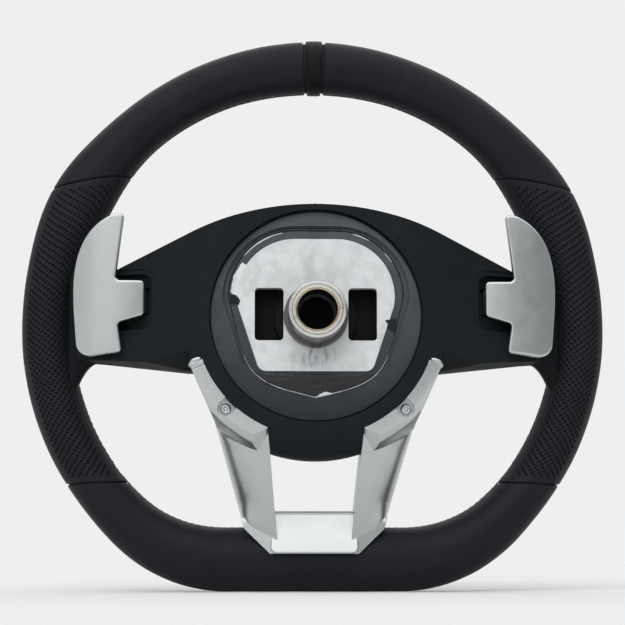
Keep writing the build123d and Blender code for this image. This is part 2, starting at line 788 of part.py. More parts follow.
# Casting: hub plate, side spokes, lower legs and the ring inside the rim
ring = rim_core(CORE_R)
arms = both_sides(arm_plate())
tongues = both_sides(arm_tongue(0))
legs = both_sides(leg_bar(0))
with BuildPart() as armature:
    with BuildSketch(back_plane(DISC_Y)):
        Circle(DISC_R)
    extrude(amount=-DISC_T)
    add(arms)
    add(tongues)
    add(legs)
    add(ring)
    with BuildSketch(back_plane(PLATE_Y)):
        add(plate_sketch(0))
    extrude(amount=PLATE_Y - DISC_Y - DISC_T)
    with BuildSketch(back_plane(0)):
        Circle(COLLAR_R + FIT / 2)
        with Locations((WINDOW_X, WINDOW_Z), (-WINDOW_X, WINDOW_Z)):
            RectangleRounded(WINDOW_W, WINDOW_H, WINDOW_CORNER)
        with PolarLocations(PIN_CIRCLE, PIN_COUNT, start_angle=90):
            Circle(PIN_R + PIN_PLAY)
    extrude(amount=-HUB_FRONT, mode=Mode.SUBTRACT)
pieces["armature"] = armature.part

# Foam surround of the hub plate
with BuildPart() as hub_foam:
    with BuildSketch(back_plane(FOAM_Y)):
        Circle(FOAM_R)
    extrude(amount=FOAM_Y - DISC_Y)
    with BuildSketch(back_plane(FOAM_Y)):
        add(frame_sketch())
    extrude(amount=FOAM_Y - DISC_Y + FOAM_SKIN, mode=Mode.SUBTRACT)
    with BuildSketch(back_plane(FOAM_Y)):
        add(plate_sketch(FIT))
    extrude(amount=FOAM_Y - DISC_Y, mode=Mode.SUBTRACT)
pieces["hub_foam"] = hub_foam.part

# Rim foam
foam_ring = both_sides(rim_half(LEATHER + FIT))
ring_space = rim_core(CORE_R + FIT)
spoke_slots = both_sides(arm_tongue(FIT))
leg_slots = both_sides(leg_bar(FIT))
with BuildPart() as rim_foam:
    add(foam_ring)
    for space in (ring_space, spoke_slots, leg_slots):
        add(space, mode=Mode.SUBTRACT)
pieces["rim_foam"] = rim_foam.part

# Leather of the right half, then its pieces between the seams
skin_outside = rim_half(0)
skin_inside = rim_half(LEATHER)
tongue_slot = arm_tongue(FIT)
leg_slot = leg_bar(FIT)
with BuildPart() as skin:
    add(skin_outside)
    for space in (skin_inside, tongue_slot, leg_slot):
        add(space, mode=Mode.SUBTRACT)
with BuildPart() as top_leather:
    add(skin.part)
    split(bisect_by=seam_plane(UPPER_SEAM_AT, UPPER_SEAM_TILT, SEAM_GAP / 2), keep=Keep.TOP)
    split(bisect_by=Plane.YZ.offset(MARKER / 2 + MARKER_GROOVE), keep=Keep.TOP)
with BuildPart() as grip_leather:
    add(skin.part)
    split(bisect_by=seam_plane(UPPER_SEAM_AT, UPPER_SEAM_TILT, -SEAM_GAP / 2), keep=Keep.BOTTOM)
    split(bisect_by=seam_plane(LOWER_SEAM_AT, LOWER_SEAM_TILT, SEAM_GAP / 2), keep=Keep.TOP)
with BuildPart() as bottom_leather_half:
    add(skin.part)
    split(bisect_by=seam_plane(LOWER_SEAM_AT, LOWER_SEAM_TILT, -SEAM_GAP / 2), keep=Keep.BOTTOM)
pieces["top_leather_right"] = top_leather.part
pieces["top_leather_left"] = mirrored(top_leather.part)
pieces["grip_leather_right"] = grip_leather.part
pieces["grip_leather_left"] = mirrored(grip_leather.part)
pieces["bottom_leather"] = both_sides(bottom_leather_half.part)

# Band at twelve o'clock
with BuildPart() as top_marker:
    with BuildSketch(Plane.YZ):
        with Locations((RIM_Y, RIM_R)):
            Ellipse(GRIP_DEPTH + MARKER_PROUD, rim_half_width(0) + MARKER_PROUD)
            Ellipse(GRIP_DEPTH - MARKER_T, rim_half_width(0) - MARKER_T, mode=Mode.SUBTRACT)
    extrude(amount=MARKER / 2, both=True)
pieces["top_marker"] = top_marker.part

# Rear cover: hub bowl and two wings, hollow, open to the front
rear_slab = spoke_slab(COVER_Y, COVER_END_Y, PART_Y, PART_END_Y, COVER_BEND_R)
rear_space = spoke_slab(
    COVER_Y + WALL, COVER_END_Y + WALL, PART_Y + FAR, PART_END_Y + FAR, COVER_BEND_R
)
rear_outside = [rear_pod(0, rear_slab), rear_chin(0, PART_END_Y, rear_slab)]
rear_inside = [rear_pod(WALL, rear_space), rear_chin(WALL, PART_END_Y + WALL, rear_space)]
pocket_outside = paddle_pocket(0, POCKET_DEPTH)
pocket_inside = paddle_pocket(WALL, POCKET_DEPTH + WALL)
pocket_step = paddle_pocket(POCKET_STEP, POCKET_STEP_DEPTH)
cuts_outside = [both_sides(cut) for cut in (wing_bevel(0), pocket_outside, pocket_step, trim_seat(FIT))]
cuts_inside = [both_sides(cut) for cut in (wing_bevel(WALL), pocket_inside, trim_seat(WALL + FIT))]
lever_slot = both_sides(box_between(
    LEVER_ROOT_X - SLOT_PLAY, LEVER_X + SLOT_PLAY, COVER_Y, PIVOT_Y + LEVER_WEB,
    LEVER_Z0 - SLOT_PLAY / 2, LEVER_Z1 + SLOT_PLAY / 2,
))
with BuildPart() as rear_hollow:
    add(rear_inside)
    add(cuts_inside, mode=Mode.SUBTRACT)
with BuildPart() as rear_cover:
    add(rear_outside)
    add(cuts_outside, mode=Mode.SUBTRACT)
    add(rear_hollow.part, mode=Mode.SUBTRACT)
    for space in (lever_slot, leg_slots, spoke_slots):
        add(space, mode=Mode.SUBTRACT)
    with BuildSketch(back_plane(0)):
        Circle(HUB_HOLE_R)
        with Locations((SCREW_X, SCREW_Z), (-SCREW_X, SCREW_Z)):
            Circle(SCREW_R + FIT / 2)
    extrude(amount=-FAR, mode=Mode.SUBTRACT)
pieces["rear_cover"] = rear_cover.part

# Front cover: the driver's side of the wings, with windows for the airbag and the switch panels
front_slab = spoke_slab(PART_Y + PART_GAP, PART_END_Y + PART_GAP, FRONT_Y, FRONT_END_Y)
front_space = spoke_slab(PART_Y - FAR, PART_END_Y - FAR, FRONT_Y - WALL, FRONT_END_Y - WALL)
front_outside = [front_pod(0, front_slab), front_chin(0, PART_Y + PART_GAP, front_slab)]
front_inside = [front_pod(WALL, front_space), front_chin(WALL, PART_Y, front_space)]
with BuildPart() as panel_window:
    with BuildSketch(panel_plane(-PANEL_W)):
        RectangleRounded(PANEL_W, PANEL_H, PANEL_CORNER)
    extrude(amount=2 * PANEL_W)
panel_windows = both_sides(panel_window.part)
with BuildPart() as front_cover:
    add(front_outside)
    add(front_inside, mode=Mode.SUBTRACT)
    for space in (panel_windows, leg_slots, spoke_slots):
        add(space, mode=Mode.SUBTRACT)
    with BuildSketch(back_plane(0)):
        Circle(FRONT_HOLE_R)
    extrude(amount=-FAR, mode=Mode.SUBTRACT)
pieces["front_cover"] = front_cover.part

# Rear trim of the lower double spoke: two shoulders, two legs and the bridge over the rim, in one
rim_space = both_sides(rim_half(-RIM_CLEAR))
crest = [(x, band_face(sqrt(x * x + z * z)), z) for x, z in (CREST_IN, CREST_OUT)]
crest_face = plane_of(*crest, (crest[0][0], crest[0][1] + SHOULDER_SLOPE, crest[0][2] - 1))
with BuildPart() as shoulder:
    with BuildSketch(Plane.XY):
        with BuildLine():
            band_r = SEAT_R + SHOULDER_BAND
            bend_r, bend_y = band_r + SHOULDER_RUN, band_face(band_r) + SHOULDER_SLOPE * SHOULDER_RUN
            floor_r = bend_r + (SHOULDER_FLOOR - bend_y) / SHOULDER_STEEP
            Polyline(
                (SEAT_R, SEAT_Y), (band_r, band_face(band_r)), (bend_r, bend_y), (floor_r, SHOULDER_FLOOR),
                (SEAT_R, SHOULDER_FLOOR), close=True,
            )
        make_face()
    revolve(axis=Axis.Y)
    circles = shoulder.edges().filter_by(GeomType.CIRCLE)
    fillet(circles.filter_by(lambda edge: abs(edge.radius - bend_r) < FIT), SHOULDER_BEND)
    circles = shoulder.edges().filter_by(GeomType.CIRCLE)
    fillet(circles.filter_by(lambda edge: abs(edge.radius - band_r) < FIT), SHOULDER_ROUND)
    split(bisect_by=crest_face, keep=Keep.BOTTOM)
    with BuildSketch(back_plane(0)):
        with BuildLine():
            tip = radians(TIP_ANGLE)
            Polyline(
                (0, 0), (SEAT_R * cos(tip), SEAT_R * sin(tip)), (TIP_X, TIP_Z),
                (SHOULDER_OUT_X, LEG_TOP_Z), (LEG_FOOT_OUT, LEG_FOOT_Z), (LEG_FOOT_IN, LEG_FOOT_Z),
                (LEG_TOP_IN, LEG_TOP_Z), close=True,
            )
        make_face()
    extrude(amount=-FAR, mode=Mode.INTERSECT)
    with BuildSketch(back_plane(SEAT_Y + TIP_GROOVE_DEPTH)):
        groove_angle = TIP_ANGLE - degrees(TIP_ROLL / SEAT_R)
        with Locations(Location((0, 0, 0), (0, 0, groove_angle))):
            Rectangle(FAR, TIP_GROOVE, align=(Align.MIN, Align.CENTER))
    extrude(amount=SEAT_Y, mode=Mode.SUBTRACT)
rear_face = plane_of((0, leg_face(0, 0), 0), (1, leg_face(1, 0), 0), (0, leg_face(0, -1), -1))
joint_face = plane_of((0, trim_joint(0), 0), (1, trim_joint(0), 0), (0, trim_joint(-1), -1))
with BuildPart() as leg:
    with BuildSketch(back_plane(0)):
        add(leg_outline(0, BRIDGE_FOOT_Z))
    extrude(amount=-FAR)
    split(bisect_by=rear_face, keep=Keep.BOTTOM)
    edge_x, edge_z = (SHOULDER_OUT_X + LEG_FOOT_OUT) / 2, (LEG_TOP_Z + LEG_FOOT_Z) / 2
    fillet(leg.edges().sort_by_distance((edge_x, leg_face(edge_x, edge_z), edge_z))[0], LEG_ROUND)
    split(bisect_by=joint_face, keep=Keep.TOP)
    with BuildSketch(back_plane(SHOULDER_FLOOR)):
        Circle(CHIN_R + FIT)
    extrude(amount=-FAR, mode=Mode.SUBTRACT)
    with BuildSketch(back_plane(0)):
        Circle(SEAT_R)
    extrude(amount=-FAR, mode=Mode.SUBTRACT)
foot_face = plane_of(FOOT_INNER, FOOT_POINT, FOOT_OUTER)
with BuildPart() as foot:
    with BuildSketch(back_plane(0)):
        add(leg_outline(0, BRIDGE_FOOT_Z))
    extrude(amount=-FAR)
    split(bisect_by=foot_face, keep=Keep.BOTTOM)
    split(bisect_by=foot_face.offset(-FOOT_T), keep=Keep.TOP)
    split(bisect_by=Plane.XY.offset(FOOT_TOP_Z), keep=Keep.BOTTOM)
with BuildPart() as bridge:
    with BuildSketch(back_plane(0)) as bridge_outline:
        with BuildLine():
            Polyline(
                (-BRIDGE_HALF, BRIDGE_TOP_Z), (BRIDGE_HALF, BRIDGE_TOP_Z),
                (BRIDGE_FOOT_HALF, BRIDGE_FOOT_Z), (-BRIDGE_FOOT_HALF, BRIDGE_FOOT_Z), close=True,
            )
        make_face()
        fillet(bridge_outline.vertices().group_by(Axis.Y)[0], BRIDGE_CORNER)
    extrude(amount=-FAR)
    with BuildSketch(Plane.YZ):
        with BuildLine():
            Polyline(
                (BRIDGE_TOP_Y, BRIDGE_TOP_Z), (BRIDGE_FOOT_Y, BRIDGE_FOOT_Z),
                (BRIDGE_FOOT_Y + BRIDGE_T, BRIDGE_FOOT_Z), (BRIDGE_TOP_Y + BRIDGE_T, BRIDGE_TOP_Z),
                close=True,
            )
        make_face()
    extrude(amount=FAR, both=True, mode=Mode.INTERSECT)
    rear_edges = bridge.faces().filter_by(lambda face: face.normal_at().Y < -sqrt(0.5)).edges()
    fillet(rear_edges.sort_by(Axis.Z)[:-1], BRIDGE_EDGE)
shoulders = both_sides(shoulder.part)
trim_legs = both_sides(leg.part)
trim_feet = both_sides(foot.part)
with BuildPart() as rear_spoke_trim:
    add(bridge.part)
    add(trim_legs)
    add(trim_feet)
    add(shoulders)
    add(leg_slots, mode=Mode.SUBTRACT)
    add(rim_space, mode=Mode.SUBTRACT)
    with BuildSketch(back_plane(SCREW_RECESS_Y)):
        add(screw_notch(SCREW_RECESS_R))
        mirror(about=Plane.YZ)
    extrude(amount=SCREW_RECESS_Y, mode=Mode.SUBTRACT)
    with BuildSketch(back_plane(0)):
        with Locations((SCREW_X, SCREW_Z), (-SCREW_X, SCREW_Z)):
            Circle(SCREW_R + FIT / 2)
    extrude(amount=-SHOULDER_FLOOR, mode=Mode.SUBTRACT)
pieces["rear_spoke_trim"] = rear_spoke_trim.part

# Screws of the rear trim
with BuildPart() as trim_screws:
    with Locations((SCREW_X, 0, SCREW_Z), (-SCREW_X, 0, SCREW_Z)):
        with Locations(back_plane(SCREW_RECESS_Y - FIT / 3)):
            Cylinder(SCREW_HEAD_R, SCREW_HEAD_T, align=(Align.CENTER, Align.CENTER, Align.MIN))
            Cylinder(SCREW_R, SCREW_END_Y - SCREW_RECESS_Y, align=(Align.CENTER, Align.CENTER, Align.MAX))
pieces["trim_screws"] = trim_screws.part

# Front trim of the lower double spoke
front_joint = joint_face.offset(-FIT)
bowl_space = front_bowl(FIT, 0)
with BuildPart() as front_leg:
    with BuildSketch(back_plane(0)):
        add(leg_outline(FIT, LEG_FOOT_Z - FIT))
    extrude(amount=-FAR)
    split(bisect_by=front_joint, keep=Keep.BOTTOM)
    split(bisect_by=front_joint.offset(-FRONT_TRIM_T), keep=Keep.TOP)
    front_edges = front_leg.faces().sort_by(Axis.Y)[-1].edges().sort_by(SortBy.LENGTH)
    fillet(front_edges[-2:], FRONT_TRIM_EDGE)
    add(bowl_space, mode=Mode.SUBTRACT)
    with BuildSketch(back_plane(0)):
        Circle(FRONT_CHIN_R)
    extrude(amount=-FAR, mode=Mode.SUBTRACT)
front_legs = both_sides(front_leg.part)
front_bar = box_between(-LEG_FOOT_IN - BAR_LAP, LEG_FOOT_IN + BAR_LAP, BAR_REAR, BAR_FRONT,
                        LEG_FOOT_Z, BAR_TOP_Z)
with BuildPart() as cross_bar:
    add(front_bar)
    fillet(cross_bar.edges().filter_by(Axis.X), FRONT_TRIM_EDGE)
with BuildPart() as front_spoke_trim:
    add(front_legs)
    add(cross_bar.part)
    add(pieces["rear_spoke_trim"], mode=Mode.SUBTRACT)
    add(leg_slots, mode=Mode.SUBTRACT)
    add(rim_space, mode=Mode.SUBTRACT)
pieces["front_spoke_trim"] = front_spoke_trim.part

# Paddle, its lever, pivot pin, bracket and switch
paddle_layer = paddle_slab(0, PADDLE_T)
with BuildPart() as paddle:
    with BuildSketch(back_plane(0)):
        add(paddle_sketch())
    extrude(amount=-FAR)
    add(paddle_layer, mode=Mode.INTERSECT)
    fillet(paddle.faces().sort_by(Axis.Y)[0].edges(), PADDLE_EDGE)
behind_paddle = paddle_slab(-FAR, PADDLE_T + FIT)
lever_block = box_between(LEVER_ROOT_X, LEVER_X, COVER_Y, LEVER_FRONT, LEVER_Z0, LEVER_Z1)
lever_web = box_between(PIVOT_X, LEVER_ROOT_X, LEVER_FRONT - LEVER_WEB, LEVER_FRONT, LEVER_Z0, LEVER_Z1)
with BuildPart() as paddle_lever:
    add(lever_block)
    add(behind_paddle, mode=Mode.SUBTRACT)
    add(lever_web)
    with BuildSketch(Plane.XY.offset(LEVER_Z0)):
        with Locations((PIVOT_X, PIVOT_Y)):
            Circle(PIVOT_BOSS_R)
    extrude(amount=LEVER_Z1 - LEVER_Z0)
    with BuildSketch(Plane.XY):
        with Locations((PIVOT_X, PIVOT_Y)):
            Circle(PIVOT_R + RUN)
    extrude(amount=FAR, both=True, mode=Mode.SUBTRACT)
with BuildPart() as paddle_pin:
    with BuildSketch(Plane.XY.offset(LEVER_Z0 - FIT - EAR_T)):
        with Locations((PIVOT_X, PIVOT_Y)):
            Circle(PIVOT_R)
    extrude(amount=LEVER_Z1 - LEVER_Z0 + 2 * (FIT + EAR_T))
bracket_back = box_between(
    ARM_WINDOW_X0 + FIT, ARM_WINDOW_X1 - FIT, BRACKET_Y, BRACKET_Y + BRACKET_T,
    ARM_WINDOW_Z0 + FIT, ARM_WINDOW_Z1 - FIT,
)
with BuildPart() as paddle_bracket:
    add(bracket_back)
    for ear_z in (LEVER_Z0 - FIT - EAR_T, LEVER_Z1 + FIT):
        with BuildSketch(Plane.XY.offset(ear_z)):
            with BuildLine():
                Polyline(
                    (PIVOT_X - PIVOT_BOSS_R, BRACKET_Y), (PIVOT_X - PIVOT_BOSS_R, PIVOT_Y),
                    (PIVOT_X + PIVOT_BOSS_R, PIVOT_Y), (PIVOT_X + PIVOT_BOSS_R, BRACKET_Y), close=True,
                )
            make_face()
            with Locations((PIVOT_X, PIVOT_Y)):
                Circle(PIVOT_BOSS_R)
                Circle(PIVOT_R + RUN, mode=Mode.SUBTRACT)
        extrude(amount=EAR_T)
switch_x = (LEVER_ROOT_X + LEVER_X) / 2 - SWITCH_W / 2
switch_z = (LEVER_Z0 + LEVER_Z1) / 2
paddle_switch = box_between(
    switch_x - SWITCH_W / 2, switch_x + SWITCH_W / 2, BRACKET_Y - SWITCH_T, BRACKET_Y,
    switch_z - SWITCH_W / 2, switch_z + SWITCH_W / 2,
)
right_pieces = {
    "paddle": paddle.part, "paddle_lever": paddle_lever.part, "paddle_pin": paddle_pin.part,
    "paddle_bracket": paddle_bracket.part, "paddle_switch": paddle_switch,
}

# Switch panel, its circuit board and its buttons
button_spots = {
    "upper_inner": (BUTTON_X, BUTTON_Z), "upper_outer": (-BUTTON_X, BUTTON_Z),
    "lower_inner": (BUTTON_X, -BUTTON_Z), "lower_outer": (-BUTTON_X, -BUTTON_Z),
}
board_lift = PANEL_PROUD - PANEL_T - BOARD_GAP
with BuildPart() as switch_panel:
    with BuildSketch(panel_plane(PANEL_PROUD)):
        RectangleRounded(PANEL_W - 2 * FIT, PANEL_H - 2 * FIT, PANEL_CORNER - FIT)
        with Locations(*button_spots.values()):
            RectangleRounded(BUTTON_W + 2 * FIT, BUTTON_H + 2 * FIT, BUTTON_ROUND + FIT, mode=Mode.SUBTRACT)
        Circle(THUMB_PAD / 2 + FIT, mode=Mode.SUBTRACT)
    extrude(amount=-PANEL_T)
    with BuildSketch(panel_plane(PANEL_PROUD - PANEL_T)):
        with Locations((0, POST_Z), (0, -POST_Z)):
            Circle(POST_R)
    extrude(amount=FIT / 3 - BOARD_GAP)
right_pieces["switch_panel"] = switch_panel.part
with BuildPart() as switch_board:
    with BuildSketch(panel_plane(board_lift)):
        RectangleRounded(PANEL_W - 2 * WALL, PANEL_H - 2 * FIT, PANEL_CORNER)
    extrude(amount=-BOARD_T)
right_pieces["switch_board"] = switch_board.part
button_top = panel_plane(PANEL_PROUD + BUTTON_STEP)
for spot, place in button_spots.items():
    with BuildPart() as button:
        with BuildSketch(button_top):
            with Locations(place):
                RectangleRounded(BUTTON_W, BUTTON_H, BUTTON_ROUND)
        extrude(amount=-BUTTON_T)
        fillet(button.faces().sort_by(Axis.Y)[-1].edges(), BUTTON_STEP / 2)
    right_pieces[f"button_{spot}"] = button.part
with BuildPart() as thumb_pad:
    with BuildSketch(button_top):
        Circle(THUMB_PAD / 2)
    extrude(amount=-BUTTON_T)
    fillet(thumb_pad.faces().sort_by(Axis.Y)[-1].edges(), BUTTON_STEP / 2)
right_pieces["thumb_pad"] = thumb_pad.part

for name, piece in right_pieces.items():
    pieces[f"{name}_right"] = piece
    pieces[f"{name}_left"] = mirrored(piece)

# Airbag module: cover, tray, gas generator and folded bag
tray_r = MODULE_R - MODULE_WALL - FIT
with BuildPart() as airbag_cover:
    with BuildSketch(Plane.XY):
        with BuildLine():
            inner_r = MODULE_R - MODULE_WALL
            inner_y = MODULE_EDGE_Y - MODULE_WALL
            apex = MODULE_EDGE_Y + MODULE_CROWN
            ThreePointArc(
                (MODULE_R, MODULE_EDGE_Y), (MODULE_R / 2, MODULE_EDGE_Y + crown(MODULE_R / 2)), (0, apex)
            )
            ThreePointArc(
                (inner_r, inner_y + crown(inner_r)), (inner_r / 2, inner_y + crown(inner_r / 2)),
                (0, apex - MODULE_WALL),
            )
            Polyline(
                (MODULE_R, MODULE_EDGE_Y), (MODULE_R, MODULE_SKIRT_Y), (inner_r, MODULE_SKIRT_Y),
                (inner_r, inner_y + crown(inner_r)),
            )
            Line((0, apex), (0, apex - MODULE_WALL))
        make_face()
    revolve(axis=Axis.Y)
    rim_edge = airbag_cover.edges().filter_by(lambda edge: edge.is_closed and edge.radius == MODULE_R)
    fillet(rim_edge.sort_by(Axis.Y)[-1], MODULE_WALL / 2)
pieces["airbag_cover"] = airbag_cover.part
with BuildPart() as airbag_tray:
    with BuildSketch(Plane.XY):
        with BuildLine():
            Polyline(
                (GENERATOR_R + FIT, TRAY_Y), (tray_r, TRAY_Y), (tray_r, TRAY_Y + TRAY_FLANGE),
                (tray_r - TRAY_T, TRAY_Y + TRAY_FLANGE), (tray_r - TRAY_T, TRAY_Y + TRAY_T),
                (GENERATOR_R + FIT, TRAY_Y + TRAY_T), close=True,
            )
        make_face()
    revolve(axis=Axis.Y)
pieces["airbag_tray"] = airbag_tray.part
flange_y = TRAY_Y + TRAY_T + FIT / 3
bag_y = flange_y + GENERATOR_FLANGE_T + FIT
with BuildPart() as gas_generator:
    with BuildSketch(Plane.XY):
        with BuildLine():
            Polyline(
                (0, GENERATOR_Y), (GENERATOR_R, GENERATOR_Y), (GENERATOR_R, flange_y),
                (GENERATOR_FLANGE_R, flange_y), (GENERATOR_FLANGE_R, flange_y + GENERATOR_FLANGE_T),
                (GENERATOR_R, flange_y + GENERATOR_FLANGE_T), (GENERATOR_R, GENERATOR_DOME_Y),
                (0, GENERATOR_DOME_Y), close=True,
            )
        make_face()
    revolve(axis=Axis.Y)
pieces["gas_generator"] = gas_generator.part
with BuildPart() as folded_airbag:
    with BuildSketch(Plane.XY):
        with BuildLine():
            bag_r = tray_r - TRAY_T - FIT
            Polyline(
                (0, GENERATOR_DOME_Y + FIT), (GENERATOR_R + FIT, GENERATOR_DOME_Y + FIT),
                (GENERATOR_R + FIT, bag_y), (bag_r, bag_y), (bag_r, MODULE_EDGE_Y - MODULE_WALL),
                (GENERATOR_FLANGE_R, BAG_FRONT), (0, BAG_FRONT), close=True,
            )
        make_face()
    revolve(axis=Axis.Y)
pieces["folded_airbag"] = folded_airbag.part

# Guide pins and springs that carry the module on the hub disc
pin_end = DISC_Y + HORN_TRAVEL + FIT
with BuildPart() as horn_guide_pins:
    with BuildSketch(back_plane(pin_end)):
        with PolarLocations(PIN_CIRCLE, PIN_COUNT, start_angle=90):
            Circle(PIN_R)
    extrude(amount=pin_end - TRAY_Y + FIT / 3)
pieces["horn_guide_pins"] = horn_guide_pins.part
spring_y0 = DISC_Y + DISC_T + SPRING_WIRE + FIT / 3
spring_y1 = TRAY_Y - SPRING_WIRE - FIT / 3
spring_turn = (spring_y1 - spring_y0) / SPRING_TURNS
with BuildPart() as horn_spring:
    with BuildLine() as coil:
        Helix(spring_turn, spring_y1 - spring_y0, SPRING_R, center=(0, spring_y0, 0), direction=(0, 1, 0))
    with BuildSketch(Plane(origin=coil.line @ 0, z_dir=coil.line % 0)):
        Circle(SPRING_WIRE)
    sweep()
with BuildPart() as horn_springs:
    for turn in range(PIN_COUNT):
        angle = pi / 2 + 2 * pi * turn / PIN_COUNT
        with Locations((PIN_CIRCLE * cos(angle), 0, PIN_CIRCLE * sin(angle))):
            add(horn_spring.part)
pieces["horn_springs"] = horn_springs.part

for name, piece in pieces.items():
    piece.label = name
    export_step(piece, f"parts/{name}.step")
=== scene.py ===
import logging
import math
from dataclasses import dataclass
from enum import Enum
from typing import Callable, Iterable, Mapping, Optional, Sequence, Union

import bmesh
import bpy
import numpy as np
from mathutils import Matrix, Vector, noise


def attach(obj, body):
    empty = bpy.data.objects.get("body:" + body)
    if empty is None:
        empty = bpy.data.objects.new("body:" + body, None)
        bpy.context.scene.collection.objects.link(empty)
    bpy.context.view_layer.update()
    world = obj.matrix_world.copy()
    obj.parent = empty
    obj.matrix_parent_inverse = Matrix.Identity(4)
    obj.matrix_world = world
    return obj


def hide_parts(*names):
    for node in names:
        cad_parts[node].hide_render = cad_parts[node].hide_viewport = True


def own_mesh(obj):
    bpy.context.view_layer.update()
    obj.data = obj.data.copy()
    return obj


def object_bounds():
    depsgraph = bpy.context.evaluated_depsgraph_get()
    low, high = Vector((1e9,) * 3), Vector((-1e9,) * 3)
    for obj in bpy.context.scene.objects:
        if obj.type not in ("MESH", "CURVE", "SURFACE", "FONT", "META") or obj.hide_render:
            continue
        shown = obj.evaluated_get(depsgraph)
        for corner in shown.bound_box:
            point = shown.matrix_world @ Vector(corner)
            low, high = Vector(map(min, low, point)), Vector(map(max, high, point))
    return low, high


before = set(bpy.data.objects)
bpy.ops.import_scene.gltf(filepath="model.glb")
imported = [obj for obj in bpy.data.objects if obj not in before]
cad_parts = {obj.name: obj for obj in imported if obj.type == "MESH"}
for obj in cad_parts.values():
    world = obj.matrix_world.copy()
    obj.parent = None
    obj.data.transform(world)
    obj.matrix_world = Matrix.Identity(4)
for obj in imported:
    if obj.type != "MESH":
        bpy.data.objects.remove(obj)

MM = 0.001
FULL_TURN = 2 * math.pi
CAD_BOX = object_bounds()
LOG = logging.getLogger("steering_wheel")

Pair = tuple[float, float]
Triple = tuple[float, float, float]
Faces = list[tuple[int, ...]]
Thing = bpy.types.Object
Socket = bpy.types.NodeSocket
SeamLine = Callable[[np.ndarray], np.ndarray]
Bend = Callable[[np.ndarray], np.ndarray]

EVEN: Triple = (1.0, 1.0, 1.0)
RISE: Pair = (0.0, 1.0)
FALL: Pair = (1.0, 0.0)
NOISE_SPAN: Pair = (0.3, 0.7)
MIX_FACTOR, MIX_LOW, MIX_HIGH, MIX_RESULT = 0, 6, 7, 2
EVERY_HEIGHT: Pair = (-500.0, 500.0)
NOISE_SEED = 7


class Side(Enum):
    """The two sides of the wheel, as seen from the back."""

    LEFT = -1
    RIGHT = 1

    @property
    def suffix(self) -> str:
        """Ending of the side's node names."""
        return self.name.lower()


class Wiring:
    """A node tree under construction."""

    def __init__(self, tree: bpy.types.NodeTree) -> None:
        """Takes up a tree."""
        self.tree = tree

    def give(self, socket: Socket, value: object) -> None:
        """Links a source to a socket, or sets a constant on it.

        Args:
            socket: the input.
            value: another node's output or a constant; a colour comes without alpha.
        """
        if isinstance(value, Socket):
            self.tree.links.new(value, socket)
        else:
            socket.default_value = (*value, 1.0) if socket.type == "RGBA" else value

    def node(self, kind: str, inputs: Optional[Mapping[Union[str, int], object]] = None,
             **settings: object) -> bpy.types.Node:
        """Adds a node.

        Args:
            kind: the node's type.
            inputs: a source or constant for each input, by name or number.
            settings: the node's own properties.

        Returns:
            The new node.
        """
        made = self.tree.nodes.new(kind)
        for name, value in settings.items():
            setattr(made, name, value)
        for key, value in (inputs or {}).items():
            self.give(made.inputs[key], value)
        return made

    def maths(self, operation: str, first: object, second: object = 0.0) -> Socket:
        """The result of a Math node on sockets or numbers."""
        return self.node("ShaderNodeMath", {0: first, 1: second}, operation=operation).outputs["Value"]

    def rescale(self, source: Socket, span: Pair, to: Pair, curve: str = "LINEAR") -> Socket:
        """Maps a span of a source to another span, clamped.

        Args:
            source: what is mapped.
            span: where the source starts and stops to matter.
            to: the results at those two values.
            curve: how the result goes from one to the other.

        Returns:
            The mapped socket.
        """
        names = ("From Min", "From Max", "To Min", "To Max")
        inputs = {"Value": source, **dict(zip(names, (*span, *to)))}
        return self.node("ShaderNodeMapRange", inputs, interpolation_type=curve).outputs["Result"]


